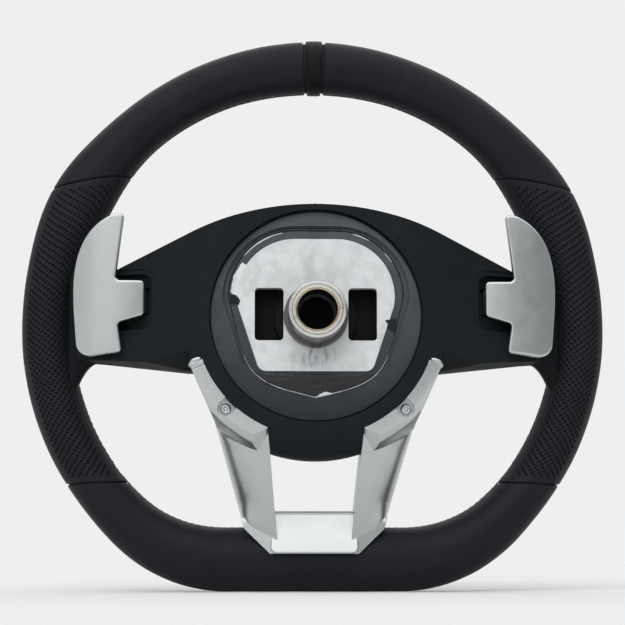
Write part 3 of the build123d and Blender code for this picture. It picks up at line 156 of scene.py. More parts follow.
class ShaderGraph(Wiring):
    """A material under construction, with sizes in millimetres."""

    def __init__(self, name: str) -> None:
        """Starts a material that has only its main shader.

        Args:
            name: the material's name.
        """
        self.material = bpy.data.materials.new(name)
        self.material.use_nodes = True
        super().__init__(self.material.node_tree)
        self.shader = self.tree.nodes["Principled BSDF"]
        self.place = self.node("ShaderNodeTexCoord").outputs["Object"]

    def settle(self, **values: object) -> None:
        """Gives the main shader constants or sources, by socket names with underscores."""
        for name, value in values.items():
            self.give(self.shader.inputs[name.replace("_", " ")], value)

    def grain(self, size: float, detail: float = 2.0, stretch: Triple = EVEN) -> Socket:
        """Noise with features of a given size.

        Args:
            size: feature size in millimetres.
            detail: octaves of finer noise.
            stretch: how much denser the noise is along each axis.

        Returns:
            The noise's factor socket.
        """
        place = self.place
        if stretch != EVEN:
            place = self.node("ShaderNodeMapping", {"Vector": place, "Scale": stretch}).outputs["Vector"]
        inputs = {"Vector": place, "Scale": 1 / (size * MM), "Detail": detail}
        return self.node("ShaderNodeTexNoise", inputs).outputs["Fac"]

    def pebbles(self, size: float) -> Socket:
        """Rounded cells of a given size, high in their middles."""
        inputs = {"Vector": self.place, "Scale": 1 / (size * MM)}
        cells = self.node("ShaderNodeTexVoronoi", inputs, feature="SMOOTH_F1")
        return self.maths("SUBTRACT", 1.0, cells.outputs["Distance"])

    def axis(self, name: str) -> Socket:
        """One object coordinate, in metres."""
        return self.node("ShaderNodeSeparateXYZ", {"Vector": self.place}).outputs[name]

    def axle_distance(self) -> Socket:
        """Distance from the steering shaft's axis, in metres."""
        squares = [self.maths("POWER", self.axis(name), 2.0) for name in "XZ"]
        return self.maths("SQRT", self.maths("ADD", *squares))

    def blend(self, factor: Socket, low: object, high: object) -> Socket:
        """A colour that goes from low to high with a factor."""
        inputs = {MIX_FACTOR: factor, MIX_LOW: low, MIX_HIGH: high}
        return self.node("ShaderNodeMix", inputs, data_type="RGBA").outputs[MIX_RESULT]

    def softened(self, radius: float) -> Socket:
        """Normals that turn gently over edges, as on a blasted and painted casting."""
        return self.node("ShaderNodeBevel", {"Radius": radius * MM}, samples=8).outputs["Normal"]

    def emboss(self, *layers: tuple[Socket, float], normal: Optional[Socket] = None) -> None:
        """Bumps the surface.

        Args:
            layers: pairs of a height source and its depth in millimetres.
            normal: the normals to start from, if not the mesh's own.
        """
        for height, depth in layers:
            inputs = {"Distance": depth * MM, "Height": height}
            if normal is not None:
                inputs["Normal"] = normal
            normal = self.node("ShaderNodeBump", inputs).outputs["Normal"]
        self.settle(Normal=normal)


@dataclass(frozen=True)
class Clouds:
    """Soft patches of colour and gloss. A patch is a size in millimetres and its octaves."""

    patch: Pair
    shades: Pair
    gloss_patch: Pair
    gloss_span: Pair
    gloss_swing: Pair


DYE = Clouds((30.0, 3.0), (0.75, 1.3), (6.0, 4.0), NOISE_SPAN, (-0.06, 0.06))
HANDLING = Clouds((22.0, 4.0), (0.8, 1.25), (9.0, 5.0), (0.3, 0.75), (-0.07, 0.05))
SMUDGES = Clouds((16.0, 3.0), (0.96, 1.04), (7.0, 4.0), NOISE_SPAN, (-0.02, 0.03))


@dataclass(frozen=True)
class Finish:
    """What every finish has in common."""

    name: str
    colour: Triple
    roughness: float
    slot: str

    def material(self) -> bpy.types.Material:
        """The finish's material, made once.

        Returns:
            The material that all pieces with this finish share.
        """
        label = f"{self.name}_finish"
        if label not in bpy.data.materials:
            graph = ShaderGraph(label)
            graph.settle(Base_Color=self.colour, Roughness=self.roughness)
            self.dress(graph)
        return bpy.data.materials[label]

    def dress(self, graph: ShaderGraph) -> None:
        """Adds the finish's own detail to its graph."""

    def shades(self, darker: float, lighter: float) -> tuple[Triple, Triple]:
        """The colour times two factors."""
        return (tuple(channel * darker for channel in self.colour),
                tuple(min(channel * lighter, 1.0) for channel in self.colour))

    def cloud(self, graph: ShaderGraph, clouds: Clouds) -> None:
        """Adds soft patches of colour and gloss.

        Args:
            graph: the finish's graph.
            clouds: what the patches are like.
        """
        low, high = (self.roughness + swing for swing in clouds.gloss_swing)
        gloss = graph.grain(*clouds.gloss_patch)
        graph.settle(Base_Color=graph.blend(graph.grain(*clouds.patch), *self.shades(*clouds.shades)),
                     Roughness=graph.rescale(gloss, clouds.gloss_span, (low, high)))


@dataclass(frozen=True)
class Leather(Finish):
    """Dyed leather with a fine pebble and faint stretch marks."""

    pebble: float = 0.9
    pebble_depth: float = 0.05
    stretch_mark: float = 5.0
    stretch_depth: float = 0.12
    sheen: float = 0.13

    def dress(self, graph: ShaderGraph) -> None:
        """Adds the pebble, the cloudy dye and the uneven gloss.

        Args:
            graph: the finish's graph.
        """
        graph.settle(Specular_IOR_Level=self.sheen)
        self.cloud(graph, DYE)
        graph.emboss((graph.pebbles(self.pebble), self.pebble_depth),
                     (graph.grain(self.stretch_mark, detail=3.0), self.stretch_depth))


@dataclass(frozen=True)
class MouldedPlastic(Finish):
    """Plastic with a fine spark-eroded grain."""

    grain: float = 0.35
    depth: float = 0.03
    shine: float = 0.11

    def dress(self, graph: ShaderGraph) -> None:
        """Adds the grain, faint clouds and the handling marks.

        Args:
            graph: the finish's graph.
        """
        graph.settle(Specular_IOR_Level=self.shine)
        self.cloud(graph, HANDLING)
        graph.emboss((graph.grain(self.grain, detail=1.0), self.depth))


@dataclass(frozen=True)
class SatinMetal(Finish):
    """Satin metallic paint or bare metal."""

    flake: float = 0.25
    flake_depth: float = 0.0003
    soft: float = 0.4

    def dress(self, graph: ShaderGraph) -> None:
        """Adds the flake, faint clouds and smudges.

        Args:
            graph: the finish's graph.
        """
        graph.settle(Metallic=1.0)
        self.cloud(graph, SMUDGES)
        flakes = graph.grain(self.flake, detail=1.0)
        graph.emboss((flakes, self.flake_depth), normal=graph.softened(self.soft))


@dataclass(frozen=True)
class CastAlloy(Finish):
    """Die-cast alloy: pale and mottled at the hub, black with foam overspray further out."""

    mottle_shades: Pair = (0.9, 1.06)
    stain: Triple = (0.36, 0.36, 0.35)
    stain_stretch: Triple = (1.6, 1.0, 0.7)
    stain_share: float = 0.4
    smear: Triple = (0.2, 0.215, 0.24)
    smear_middle: float = -25.0
    smear_half: Pair = (15.0, 8.5)
    smear_stretch: Triple = (2.2, 1.0, 0.55)
    smear_share: float = 0.75
    metallic: float = 0.55
    gloss: Pair = (0.34, 0.58)
    skin: tuple[Triple, ...] = ((1.1, 3.0, 0.05), (0.3, 1.0, 0.03))
    coated_from: float = 60.0
    coat: Triple = (0.008, 0.008, 0.008)

    def dress(self, graph: ShaderGraph) -> None:
        """Adds the mottle, the stains, the smears, the coat and the sandy skin.

        Args:
            graph: the finish's graph.
        """
        patches = graph.rescale(graph.grain(7.0, detail=6.0), (0.35, 0.65), RISE)
        mottle = graph.blend(patches, *self.shades(*self.mottle_shades))
        mottle = graph.blend(self.smears(graph), mottle, self.smear)
        stains = graph.grain(19.0, detail=7.0, stretch=self.stain_stretch)
        stains = graph.rescale(stains, (0.56, 0.74), (0.0, self.stain_share))
        edge = self.coated_from * MM
        coated = graph.rescale(graph.axle_distance(), (edge, edge + MM), RISE)
        graph.settle(
            Base_Color=graph.blend(coated, graph.blend(stains, mottle, self.stain), self.coat),
            Metallic=graph.rescale(coated, RISE, (self.metallic, 0.0)),
            Roughness=graph.rescale(graph.grain(4.0, detail=5.0), NOISE_SPAN, self.gloss),
        )
        graph.emboss(*[(graph.grain(size, detail), depth) for size, detail, depth in self.skin])

    def smears(self, graph: ShaderGraph) -> Socket:
        """How much assembly grease is smeared below the hub.

        Args:
            graph: the finish's graph.

        Returns:
            A share that is highest in the middle of the smear.
        """
        wide, high = (half * MM for half in self.smear_half)
        across = graph.maths("DIVIDE", graph.axis("X"), wide)
        down = graph.maths("DIVIDE", graph.maths("SUBTRACT", graph.axis("Z"), self.smear_middle * MM), high)
        away = graph.maths("ADD", graph.maths("POWER", across, 2.0), graph.maths("POWER", down, 2.0))
        streaks = graph.grain(5.0, detail=5.0, stretch=self.smear_stretch)
        streaks = graph.rescale(streaks, (0.42, 0.66), (0.0, self.smear_share))
        return graph.maths("MULTIPLY", graph.rescale(away, (0.1, 1.0), FALL), streaks)


@dataclass(frozen=True)
class TurnedSteel(Finish):
    """Turned steel with fine rings about the shaft's axis."""

    rings: float = 1.1
    ring_depth: float = 0.02
    bore: float = 12.35
    bore_fade: float = 0.02
    chamfer: float = 13.9
    chamfer_fade: float = 0.5
    shoulder: float = 15.4
    shoulder_line: Pair = (0.1, 0.4)
    side: float = 17.3
    side_fade: float = 0.3
    tarnish: Triple = (0.66, 0.56, 0.36)
    tarnish_share: float = 0.85
    # painted shade: dark colour of the boss's side and collar, standing in for their shade and dark
    # reflection; also the colour of the dark shoulder line
    grime: Triple = (0.07, 0.07, 0.068)
    line_share: float = 0.7
    grime_share: float = 0.95
    # painted shade: the near black of the bore, standing in for the shade inside it
    oil: Triple = (0.006, 0.006, 0.006)
    gloss: Pair = (0.24, 0.38)

    def dress(self, graph: ShaderGraph) -> None:
        """Adds tool marks, a warm tarnish on the chamfer, a dark line at the shoulder, and painted shade on
        the side and in the bore.

        Args:
            graph: the finish's graph.
        """
        radius = graph.axle_distance()

        def past(start: float, fade: float, share: float) -> Socket:
            """A share that is reached over a short way from a radius in millimetres."""
            return graph.rescale(radius, (start * MM, (start + fade) * MM), (0.0, share))

        marks = graph.maths("SINE", graph.maths("MULTIPLY", radius, FULL_TURN / (self.rings * MM)))
        warm = past(self.chamfer, -self.chamfer_fade, self.tarnish_share)
        # painted shade: the bore turns near black inside this radius
        bore_shade_share = past(self.bore, -self.bore_fade, 1.0)
        # painted shade: the boss's side and collar turn dark past this radius
        side_shade = past(self.side, self.side_fade, self.grime_share)
        off_line = graph.maths("ABSOLUTE", graph.maths("SUBTRACT", radius, self.shoulder * MM))
        near, far = (reach * MM for reach in self.shoulder_line)
        line = graph.rescale(off_line, (near, far), (self.line_share, 0.0))
        face = graph.blend(line, graph.blend(warm, self.colour, self.tarnish), self.grime)
        graph.settle(
            Base_Color=graph.blend(bore_shade_share, graph.blend(side_shade, face, self.grime), self.oil),
            Metallic=graph.rescale(graph.maths("MAXIMUM", bore_shade_share, side_shade), RISE, FALL),
            Roughness=graph.rescale(graph.grain(3.0, detail=4.0), NOISE_SPAN, self.gloss),
        )
        graph.emboss((marks, self.ring_depth))


@dataclass(frozen=True)
class MouldedFoam(Finish):
    """Moulded foam with a dull skin and open pores."""

    pore: float = 1.6
    pore_depth: float = 0.12
    dent: float = 7.0
    dent_depth: float = 0.3
    dullness: float = 0.2
    patch: float = 12.0
    patch_shades: Pair = (0.7, 1.3)
    chalk: Pair = (1.0, 1.0)
    chalk_half: float = 60.0

    def dress(self, graph: ShaderGraph) -> None:
        """Adds the pores and the chalky patches, with painted light: darker towards the bottom and lighter
        towards the top.

        Args:
            graph: the finish's graph.
        """
        patches = graph.grain(self.patch, detail=6.0)
        # painted light: the foam is made darker low down and lighter high up, as if lit from above
        levels = [[shade * level for shade in self.patch_shades] for level in self.chalk]
        low, high = (graph.blend(patches, *self.shades(*level)) for level in levels)
        half = self.chalk_half * MM
        rise = graph.rescale(graph.axis("Z"), (-half, half), RISE)
        graph.settle(Specular_IOR_Level=self.dullness, Base_Color=graph.blend(rise, low, high))
        graph.emboss((graph.grain(self.pore, detail=4.0), self.pore_depth),
                     (graph.grain(self.dent, detail=3.0), self.dent_depth))


BLACK_NAPPA = Leather("black_nappa", (0.0105, 0.0121, 0.0152), 0.42, "smooth_leather")
PERFORATED_HIDE = Leather("perforated_hide", (0.0125, 0.0142, 0.0176), 0.44, "perforated_leather", pebble=0.7)
HOLE_SHADE = MouldedFoam("hole_shade", (0.002, 0.002, 0.002), 0.9, "perforated_leather")
THREAD = Leather("black_thread", (0.008, 0.008, 0.009), 0.6, "smooth_leather", pebble=0.35)
BAND_HIDE = Leather("band_hide", (0.0055, 0.006, 0.0074), 0.44, "leather_band")
ROOT_HIDE = Leather("root_hide", (0.0048, 0.0054, 0.0068), 0.5, "smooth_leather")
COVER_BLACK = MouldedPlastic("cover_black", (0.0098, 0.0122, 0.0143), 0.64, "cover_plastic")
INNER_BLACK = MouldedPlastic("inner_black", (0.02, 0.02, 0.021), 0.6, "inner_plastic")
SWITCH_GREY = MouldedPlastic("switch_grey", (0.06, 0.06, 0.06), 0.55, "switch_plastic")
PANEL_BLACK = MouldedPlastic(
    "panel_black", (0.008, 0.008, 0.009), 0.16, "panel_gloss", depth=0.002, shine=0.5)
BUTTON_BLACK = MouldedPlastic("button_black", (0.02, 0.02, 0.021), 0.5, "button_plastic")
BOARD_GREEN = MouldedPlastic("board_green", (0.02, 0.09, 0.04), 0.4, "board")
AIRBAG_BLACK = MouldedPlastic(
    "airbag_black", (0.013, 0.013, 0.014), 0.5, "airbag_skin", grain=0.6, depth=0.05)
SATIN_SILVER = SatinMetal("satin_silver", (0.63, 0.66, 0.665), 0.3, "satin_silver", soft=0.7)
ROLL_SILVER = SatinMetal("rolled_silver", (0.63, 0.66, 0.665), 0.3, "satin_silver")
SCREW_STEEL = SatinMetal("screw_steel", (0.7, 0.74, 0.76), 0.26, "screw_steel")
PIN_STEEL = SatinMetal("pin_steel", (0.5, 0.5, 0.5), 0.3, "pin_steel")
SPRING_STEEL = SatinMetal("spring_steel", (0.45, 0.45, 0.46), 0.3, "spring_steel")
COATED_STEEL = MouldedPlastic("coated_steel", (0.006, 0.006, 0.006), 0.5, "airbag_steel")
HUB_STEEL = TurnedSteel("hub_steel", (0.76, 0.75, 0.72), 0.28, "hub_steel")
HUB_ALLOY = CastAlloy("hub_alloy", (0.73, 0.755, 0.765), 0.45, "cast_alloy")
BARE_ALLOY = CastAlloy("bare_alloy", (0.82, 0.83, 0.83), 0.4, "cast_alloy", coated_from=90.0)
PIP_BLACK = MouldedPlastic("pip_black", (0.002, 0.002, 0.0022), 0.6, "cover_plastic")
FILM = MouldedPlastic("crumpled_film", (0.019, 0.02, 0.022), 0.34, "hub_foam", shine=0.35)
FOAM_EDGE = MouldedFoam("foam_edge_dark", (0.016, 0.017, 0.019), 0.7, "hub_foam")
# painted light: the hub foam is darker at the bottom and lighter at the top
HUB_FOAM = MouldedFoam("hub_foam_grey", (0.06, 0.068, 0.076), 0.75, "hub_foam", chalk=(0.5, 1.45))
RIM_FOAM = MouldedFoam("rim_foam_black", (0.02, 0.02, 0.02), 0.8, "rim_foam")
BAG_CLOTH = MouldedFoam("bag_cloth", (0.7, 0.7, 0.66), 0.8, "airbag_cloth", pore=0.6)


def linked(name: str, data: bpy.types.ID) -> Thing:
    """A new object in the scene that shows some data."""
    made = bpy.data.objects.new(name, data)
    bpy.context.scene.collection.objects.link(made)
    return made


def new_object(name: str, vertices: np.ndarray, faces: Iterable[Sequence[int]] = (),
               edges: Iterable[Sequence[int]] = ()) -> Thing:
    """A mesh object at the origin.

    Args:
        name: the object's name.
        vertices: points in millimetres, one to a row.
        faces: lists of vertex numbers.
        edges: pairs of vertex numbers, for a line without faces.

    Returns:
        The linked object, smooth shaded.
    """
    mesh = bpy.data.meshes.new(name)
    corners = [tuple(map(int, face)) for face in faces]
    mesh.from_pydata((np.asarray(vertices) * MM).tolist(), list(edges), corners)
    mesh.shade_smooth()
    return linked(name, mesh)


def mark(piece: Thing, name: str, kind: str, domain: str, values: Sequence) -> None:
    """Stores an attribute on a piece's mesh.

    Args:
        piece: the object.
        name: the attribute's name.
        kind: its data type.
        domain: what each value belongs to.
        values: all the values in one row.
    """
    made = piece.data.attributes.new(name, kind, domain)
    made.data.foreach_set("vector" if kind == "FLOAT_VECTOR" else "value", values)


def face_out(piece: Thing) -> Thing:
    """Turns the faces of a closed mesh outwards.

    Args:
        piece: the object.

    Returns:
        The same object.
    """
    form = bmesh.new()
    form.from_mesh(piece.data)
    bmesh.ops.recalc_face_normals(form, faces=form.faces)
    form.to_mesh(piece.data)
    form.free()
    return piece


def turns(count: int) -> np.ndarray:
    """Equal angles round a full turn."""
    return np.linspace(0, FULL_TURN, count, endpoint=False)


def quads(rows: int, columns: int, rows_close: bool = False, columns_close: bool = True) -> Faces:
    """Faces of a grid of points that are numbered row by row.

    Args:
        rows: number of rows.
        columns: points in a row.
        rows_close: whether the last row joins the first.
        columns_close: whether the last point of a row joins its first.

    Returns:
        Four vertex numbers for each face: two of a row, then two of the next.
    """
    faces: Faces = []
    for row in range(rows if rows_close else rows - 1):
        here, there = row * columns, (row + 1) % rows * columns
        for column in range(columns if columns_close else columns - 1):
            beside = (column + 1) % columns
            faces.append((here + column, here + beside, there + beside, there + column))
    return faces


def tube(name: str, points: np.ndarray, rings: int) -> Thing:
    """A closed tube of equal rings, with a cap at each end.

    Args:
        name: the object's name.
        points: the points of all rings, one to a row.
        rings: number of rings.

    Returns:
        The new object, its faces outwards.
    """
    sides = len(points) // rings
    caps = [tuple(reversed(range(sides))), tuple(range(len(points) - sides, len(points)))]
    return face_out(new_object(name, points, quads(rings, sides) + caps))


def turned(name: str, profile: Sequence[tuple[object, float]], sides: int) -> Thing:
    """A closed solid of rings about the Y axis.

    Args:
        name: the object's name.
        profile: radius and depth of each ring; a radius may change round the ring.
        sides: points in a ring.

    Returns:
        The new object, its faces outwards.
    """
    turn = turns(sides)
    circle = np.stack([np.cos(turn), np.sin(turn)], axis=-1)
    rings = [at_depth(circle * np.reshape(reach, (-1, 1)), y) for reach, y in profile]
    return tube(name, np.concatenate(rings), len(rings))


def at_depth(spots: np.ndarray, depth: object) -> np.ndarray:
    """Points (x, y, z) from places (x, z) and a depth y."""
    return np.stack([spots[..., 0], np.broadcast_to(depth, spots.shape[:-1]), spots[..., 1]], axis=-1)


def hand_over(piece: Thing, finish: Finish, *nodes: str, body: str = "wheel") -> None:
    """Tells the frame what a finished piece rides on and stands for.

    Args:
        piece: the object, which gets the finish's material if it has none.
        finish: what the piece is made of.
        nodes: the CAD nodes that it replaces.
        body: the body that it rides on.
    """
    if not piece.data.materials:
        piece.data.materials.append(finish.material())
    if nodes:
        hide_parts(*nodes)
    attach(piece, body)
    LOG.info("%s: %d faces on %s", piece.name, len(piece.data.polygons), body)


def dress(finish: Finish, *nodes: str) -> None:
    """Gives CAD nodes a finish and keeps their own shape and normals.

    Args:
        finish: what the nodes are made of.
        nodes: the nodes' names.
    """
    for node in nodes:
        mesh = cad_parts[node].data
        mesh.materials.clear()
        mesh.materials.append(finish.material())
        LOG.info("%s: dressed in %s", node, finish.name)


def sided(*stems: str) -> list[str]:
    """Names of the left and right nodes of sided pieces."""
    return [f"{stem}_{side.suffix}" for stem in stems for side in Side]


class NodeTree(Wiring):
    """A Geometry Nodes tree under construction."""

    def __init__(self, name: str, **inputs: str) -> None:
        """Starts a tree with a geometry input and named inputs.

        Args:
            name: the tree's name.
            inputs: kinds of socket by input name, with underscores for spaces.
        """
        super().__init__(bpy.data.node_groups.new(name, "GeometryNodeTree"))
        face = self.tree.interface
        for label, kind in {"Geometry": "Geometry", **inputs}.items():
            face.new_socket(label.replace("_", " "), in_out="INPUT", socket_type=f"NodeSocket{kind}")
        face.new_socket("Geometry", in_out="OUTPUT", socket_type="NodeSocketGeometry")
        self.given = self.node("NodeGroupInput").outputs
        self.end = self.node("NodeGroupOutput")

    def vector(self, operation: str, first: Socket, second: Optional[Socket] = None) -> Socket:
        """Vector arithmetic.

        Args:
            operation: what the Vector Math node does.
            first: a vector.
            second: another vector, or the factor of a scaling.

        Returns:
            The node's result.
        """
        inputs = {0: first}
        if second is not None:
            inputs["Scale" if operation == "SCALE" else 1] = second
        return self.node("ShaderNodeVectorMath", inputs, operation=operation).outputs["Vector"]

    def attribute(self, name: str, kind: str) -> Socket:
        """A named attribute of the input mesh."""
        made = self.node("GeometryNodeInputNamedAttribute", {"Name": name}, data_type=kind)
        return made.outputs["Attribute"]

    def smooth(self, geometry: Socket) -> Socket:
        """Geometry with smooth shading."""
        return self.node("GeometryNodeSetShadeSmooth", {"Geometry": geometry}).outputs["Geometry"]

    def finish(self, geometry: Socket, material: Socket, selection: Optional[Socket] = None) -> None:
        """Ends the tree in real geometry with its material.

        Args:
            geometry: what the tree has made.
            material: the material's socket.
            selection: the faces that get the material, if not all.
        """
        real = self.node("GeometryNodeRealizeInstances", {"Geometry": geometry})
        inputs = {"Geometry": real.outputs["Geometry"], "Material": material}
        if selection is not None:
            inputs["Selection"] = selection
        painted = self.node("GeometryNodeSetMaterial", inputs)
        self.give(self.end.inputs["Geometry"], painted.outputs["Geometry"])

    def apply(self, piece: Thing, **values: object) -> None:
        """Runs the tree on a piece and keeps the result as plain mesh.

        Args:
            piece: the object that gives the tree its geometry.
            values: the tree's inputs by name, with underscores for spaces.
        """
        modifier = piece.modifiers.new(self.tree.name, "NODES")
        modifier.node_group = self.tree
        items = self.tree.interface.items_tree
        names = {item.name: item.identifier for item in items if item.in_out == "INPUT"}
        for name, value in values.items():
            modifier[names[name.replace("_", " ")]] = value
        evaluated = piece.evaluated_get(bpy.context.evaluated_depsgraph_get())
        mesh = bpy.data.meshes.new_from_object(evaluated)
        piece.modifiers.clear()
        piece.data = mesh


class PunchedHoles(NodeTree):
    """Sinks a round hole into each face that is marked for one."""

    def __init__(self) -> None:
        """Builds the tree: an inset ring, moved onto a circle, then pushed in."""
        super().__init__("punched_holes", Hole_Radius="Float", Hole_Depth="Float", Hole_Material="Material")
        capture = self.node("GeometryNodeCaptureAttribute", domain="FACE")
        capture.capture_items.new("VECTOR", "Centre")
        place = self.node("GeometryNodeInputPosition").outputs["Position"]
        self.give(capture.inputs["Geometry"], self.given["Geometry"])
        self.give(capture.inputs["Centre"], place)
        centre = capture.outputs["Centre"]
        inset = self.node("GeometryNodeExtrudeMesh", {
            "Mesh": capture.outputs["Geometry"], "Selection": self.attribute("punched", "BOOLEAN"),
            "Offset Scale": 0.0,
        }, mode="FACES")
        reach = self.vector("NORMALIZE", self.vector("SUBTRACT", place, centre))
        circle = self.vector("ADD", centre, self.vector("SCALE", reach, self.given["Hole Radius"]))
        rounded = self.node("GeometryNodeSetPosition", {
            "Geometry": inset.outputs["Mesh"], "Selection": inset.outputs["Top"], "Position": circle,
        })
        sunk = self.node("GeometryNodeExtrudeMesh", {
            "Mesh": rounded.outputs["Geometry"], "Selection": inset.outputs["Top"],
            "Offset Scale": self.maths("MULTIPLY", self.given["Hole Depth"], -1.0),
        }, mode="FACES")
        inside = {0: sunk.outputs["Top"], 1: sunk.outputs["Side"]}
        pit = self.node("FunctionNodeBooleanMath", inside, operation="OR")
        self.finish(sunk.outputs["Mesh"], self.given["Hole Material"], pit.outputs["Boolean"])


class ThreadRow(NodeTree):
    """Lays one stitch of thread at each point, along the point's own direction."""

    def __init__(self) -> None:
        """Builds the tree: a small plump thread, set on points and turned."""
        super().__init__("thread_row", Thread_Width="Float", Thread_Length="Float",
                         Thread_Material="Material")
        thread = self.node("GeometryNodeMeshUVSphere", {"Segments": 8, "Rings": 6, "Radius": 0.5})
        width, length = self.given["Thread Width"], self.given["Thread Length"]
        size = self.node("ShaderNodeCombineXYZ", {"X": width, "Y": width, "Z": length})
        along = {"Vector": self.attribute("along", "FLOAT_VECTOR")}
        laid = self.node("GeometryNodeInstanceOnPoints", {
            "Points": self.given["Geometry"], "Instance": thread.outputs["Mesh"],
            "Rotation": self.node("FunctionNodeAlignRotationToVector", along, axis="Z").outputs["Rotation"],
            "Scale": size.outputs["Vector"],
        })
        self.finish(self.smooth(laid.outputs["Instances"]), self.given["Thread Material"])


class PathBead(NodeTree):
    """Sweeps a round bead along a line of edges, thicker or thinner by each point's own swell."""

    def __init__(self) -> None:
        """Builds the tree: edges made a curve, then a circle swept along it."""
        super().__init__("path_bead", Bead_Radius="Float", Bead_Material="Material")
        path = self.node("GeometryNodeMeshToCurve", {"Mesh": self.given["Geometry"]})
        ring = {"Resolution": 8, "Radius": self.given["Bead Radius"]}
        swept = self.node("GeometryNodeCurveToMesh", {
            "Curve": path.outputs["Curve"], "Scale": self.attribute("swell", "FLOAT"), "Fill Caps": True,
            "Profile Curve": self.node("GeometryNodeCurvePrimitiveCircle", ring).outputs["Curve"],
        })
        self.finish(self.smooth(swept.outputs["Mesh"]), self.given["Bead Material"])

    @classmethod
    def run(cls, name: str, places: np.ndarray, swell: np.ndarray, width: float, finish: Finish) -> None:
        """Makes a bead of the wheel and hands it over.

        Args:
            name: the piece's name.
            places: points of its path, in millimetres.
            swell: how much of the width it has at each point.
            width: its width in millimetres.
            finish: what it is made of.
        """
        made = new_object(name, places, edges=[(k, k + 1) for k in range(len(places) - 1)])
        mark(made, "swell", "FLOAT", "POINT", swell)
        cls().apply(made, Bead_Radius=width / 2 * MM, Bead_Material=finish.material())
        hand_over(made, finish)


class PlacedCopies(NodeTree):
    """Sets a copy of a small object at each point."""

    def __init__(self) -> None:
        """Builds the tree: the object's mesh, set on the points."""
        super().__init__("placed_copies", Copied="Object", Copy_Material="Material")
        copied = self.node("GeometryNodeObjectInfo", {"Object": self.given["Copied"]})
        laid = self.node("GeometryNodeInstanceOnPoints", {
            "Points": self.given["Geometry"], "Instance": copied.outputs["Geometry"],
        })
        self.finish(laid.outputs["Instances"], self.given["Copy Material"])

    @classmethod
    def lay_out(cls, name: str, pattern: Thing, places: Sequence[Triple], finish: Finish,
                *nodes: str) -> None:
        """Copies a pattern piece to places, takes the pattern away and hands the copies over.

        Args:
            name: the new piece's name.
            pattern: the object that is copied.
            places: where the copies go, in millimetres.
            finish: what the copies are made of.
            nodes: the CAD nodes that the copies replace.
        """
        made = new_object(name, np.array(places))
        cls().apply(made, Copied=pattern, Copy_Material=finish.material())
        bpy.data.objects.remove(pattern)
        hand_over(made, finish, *nodes)


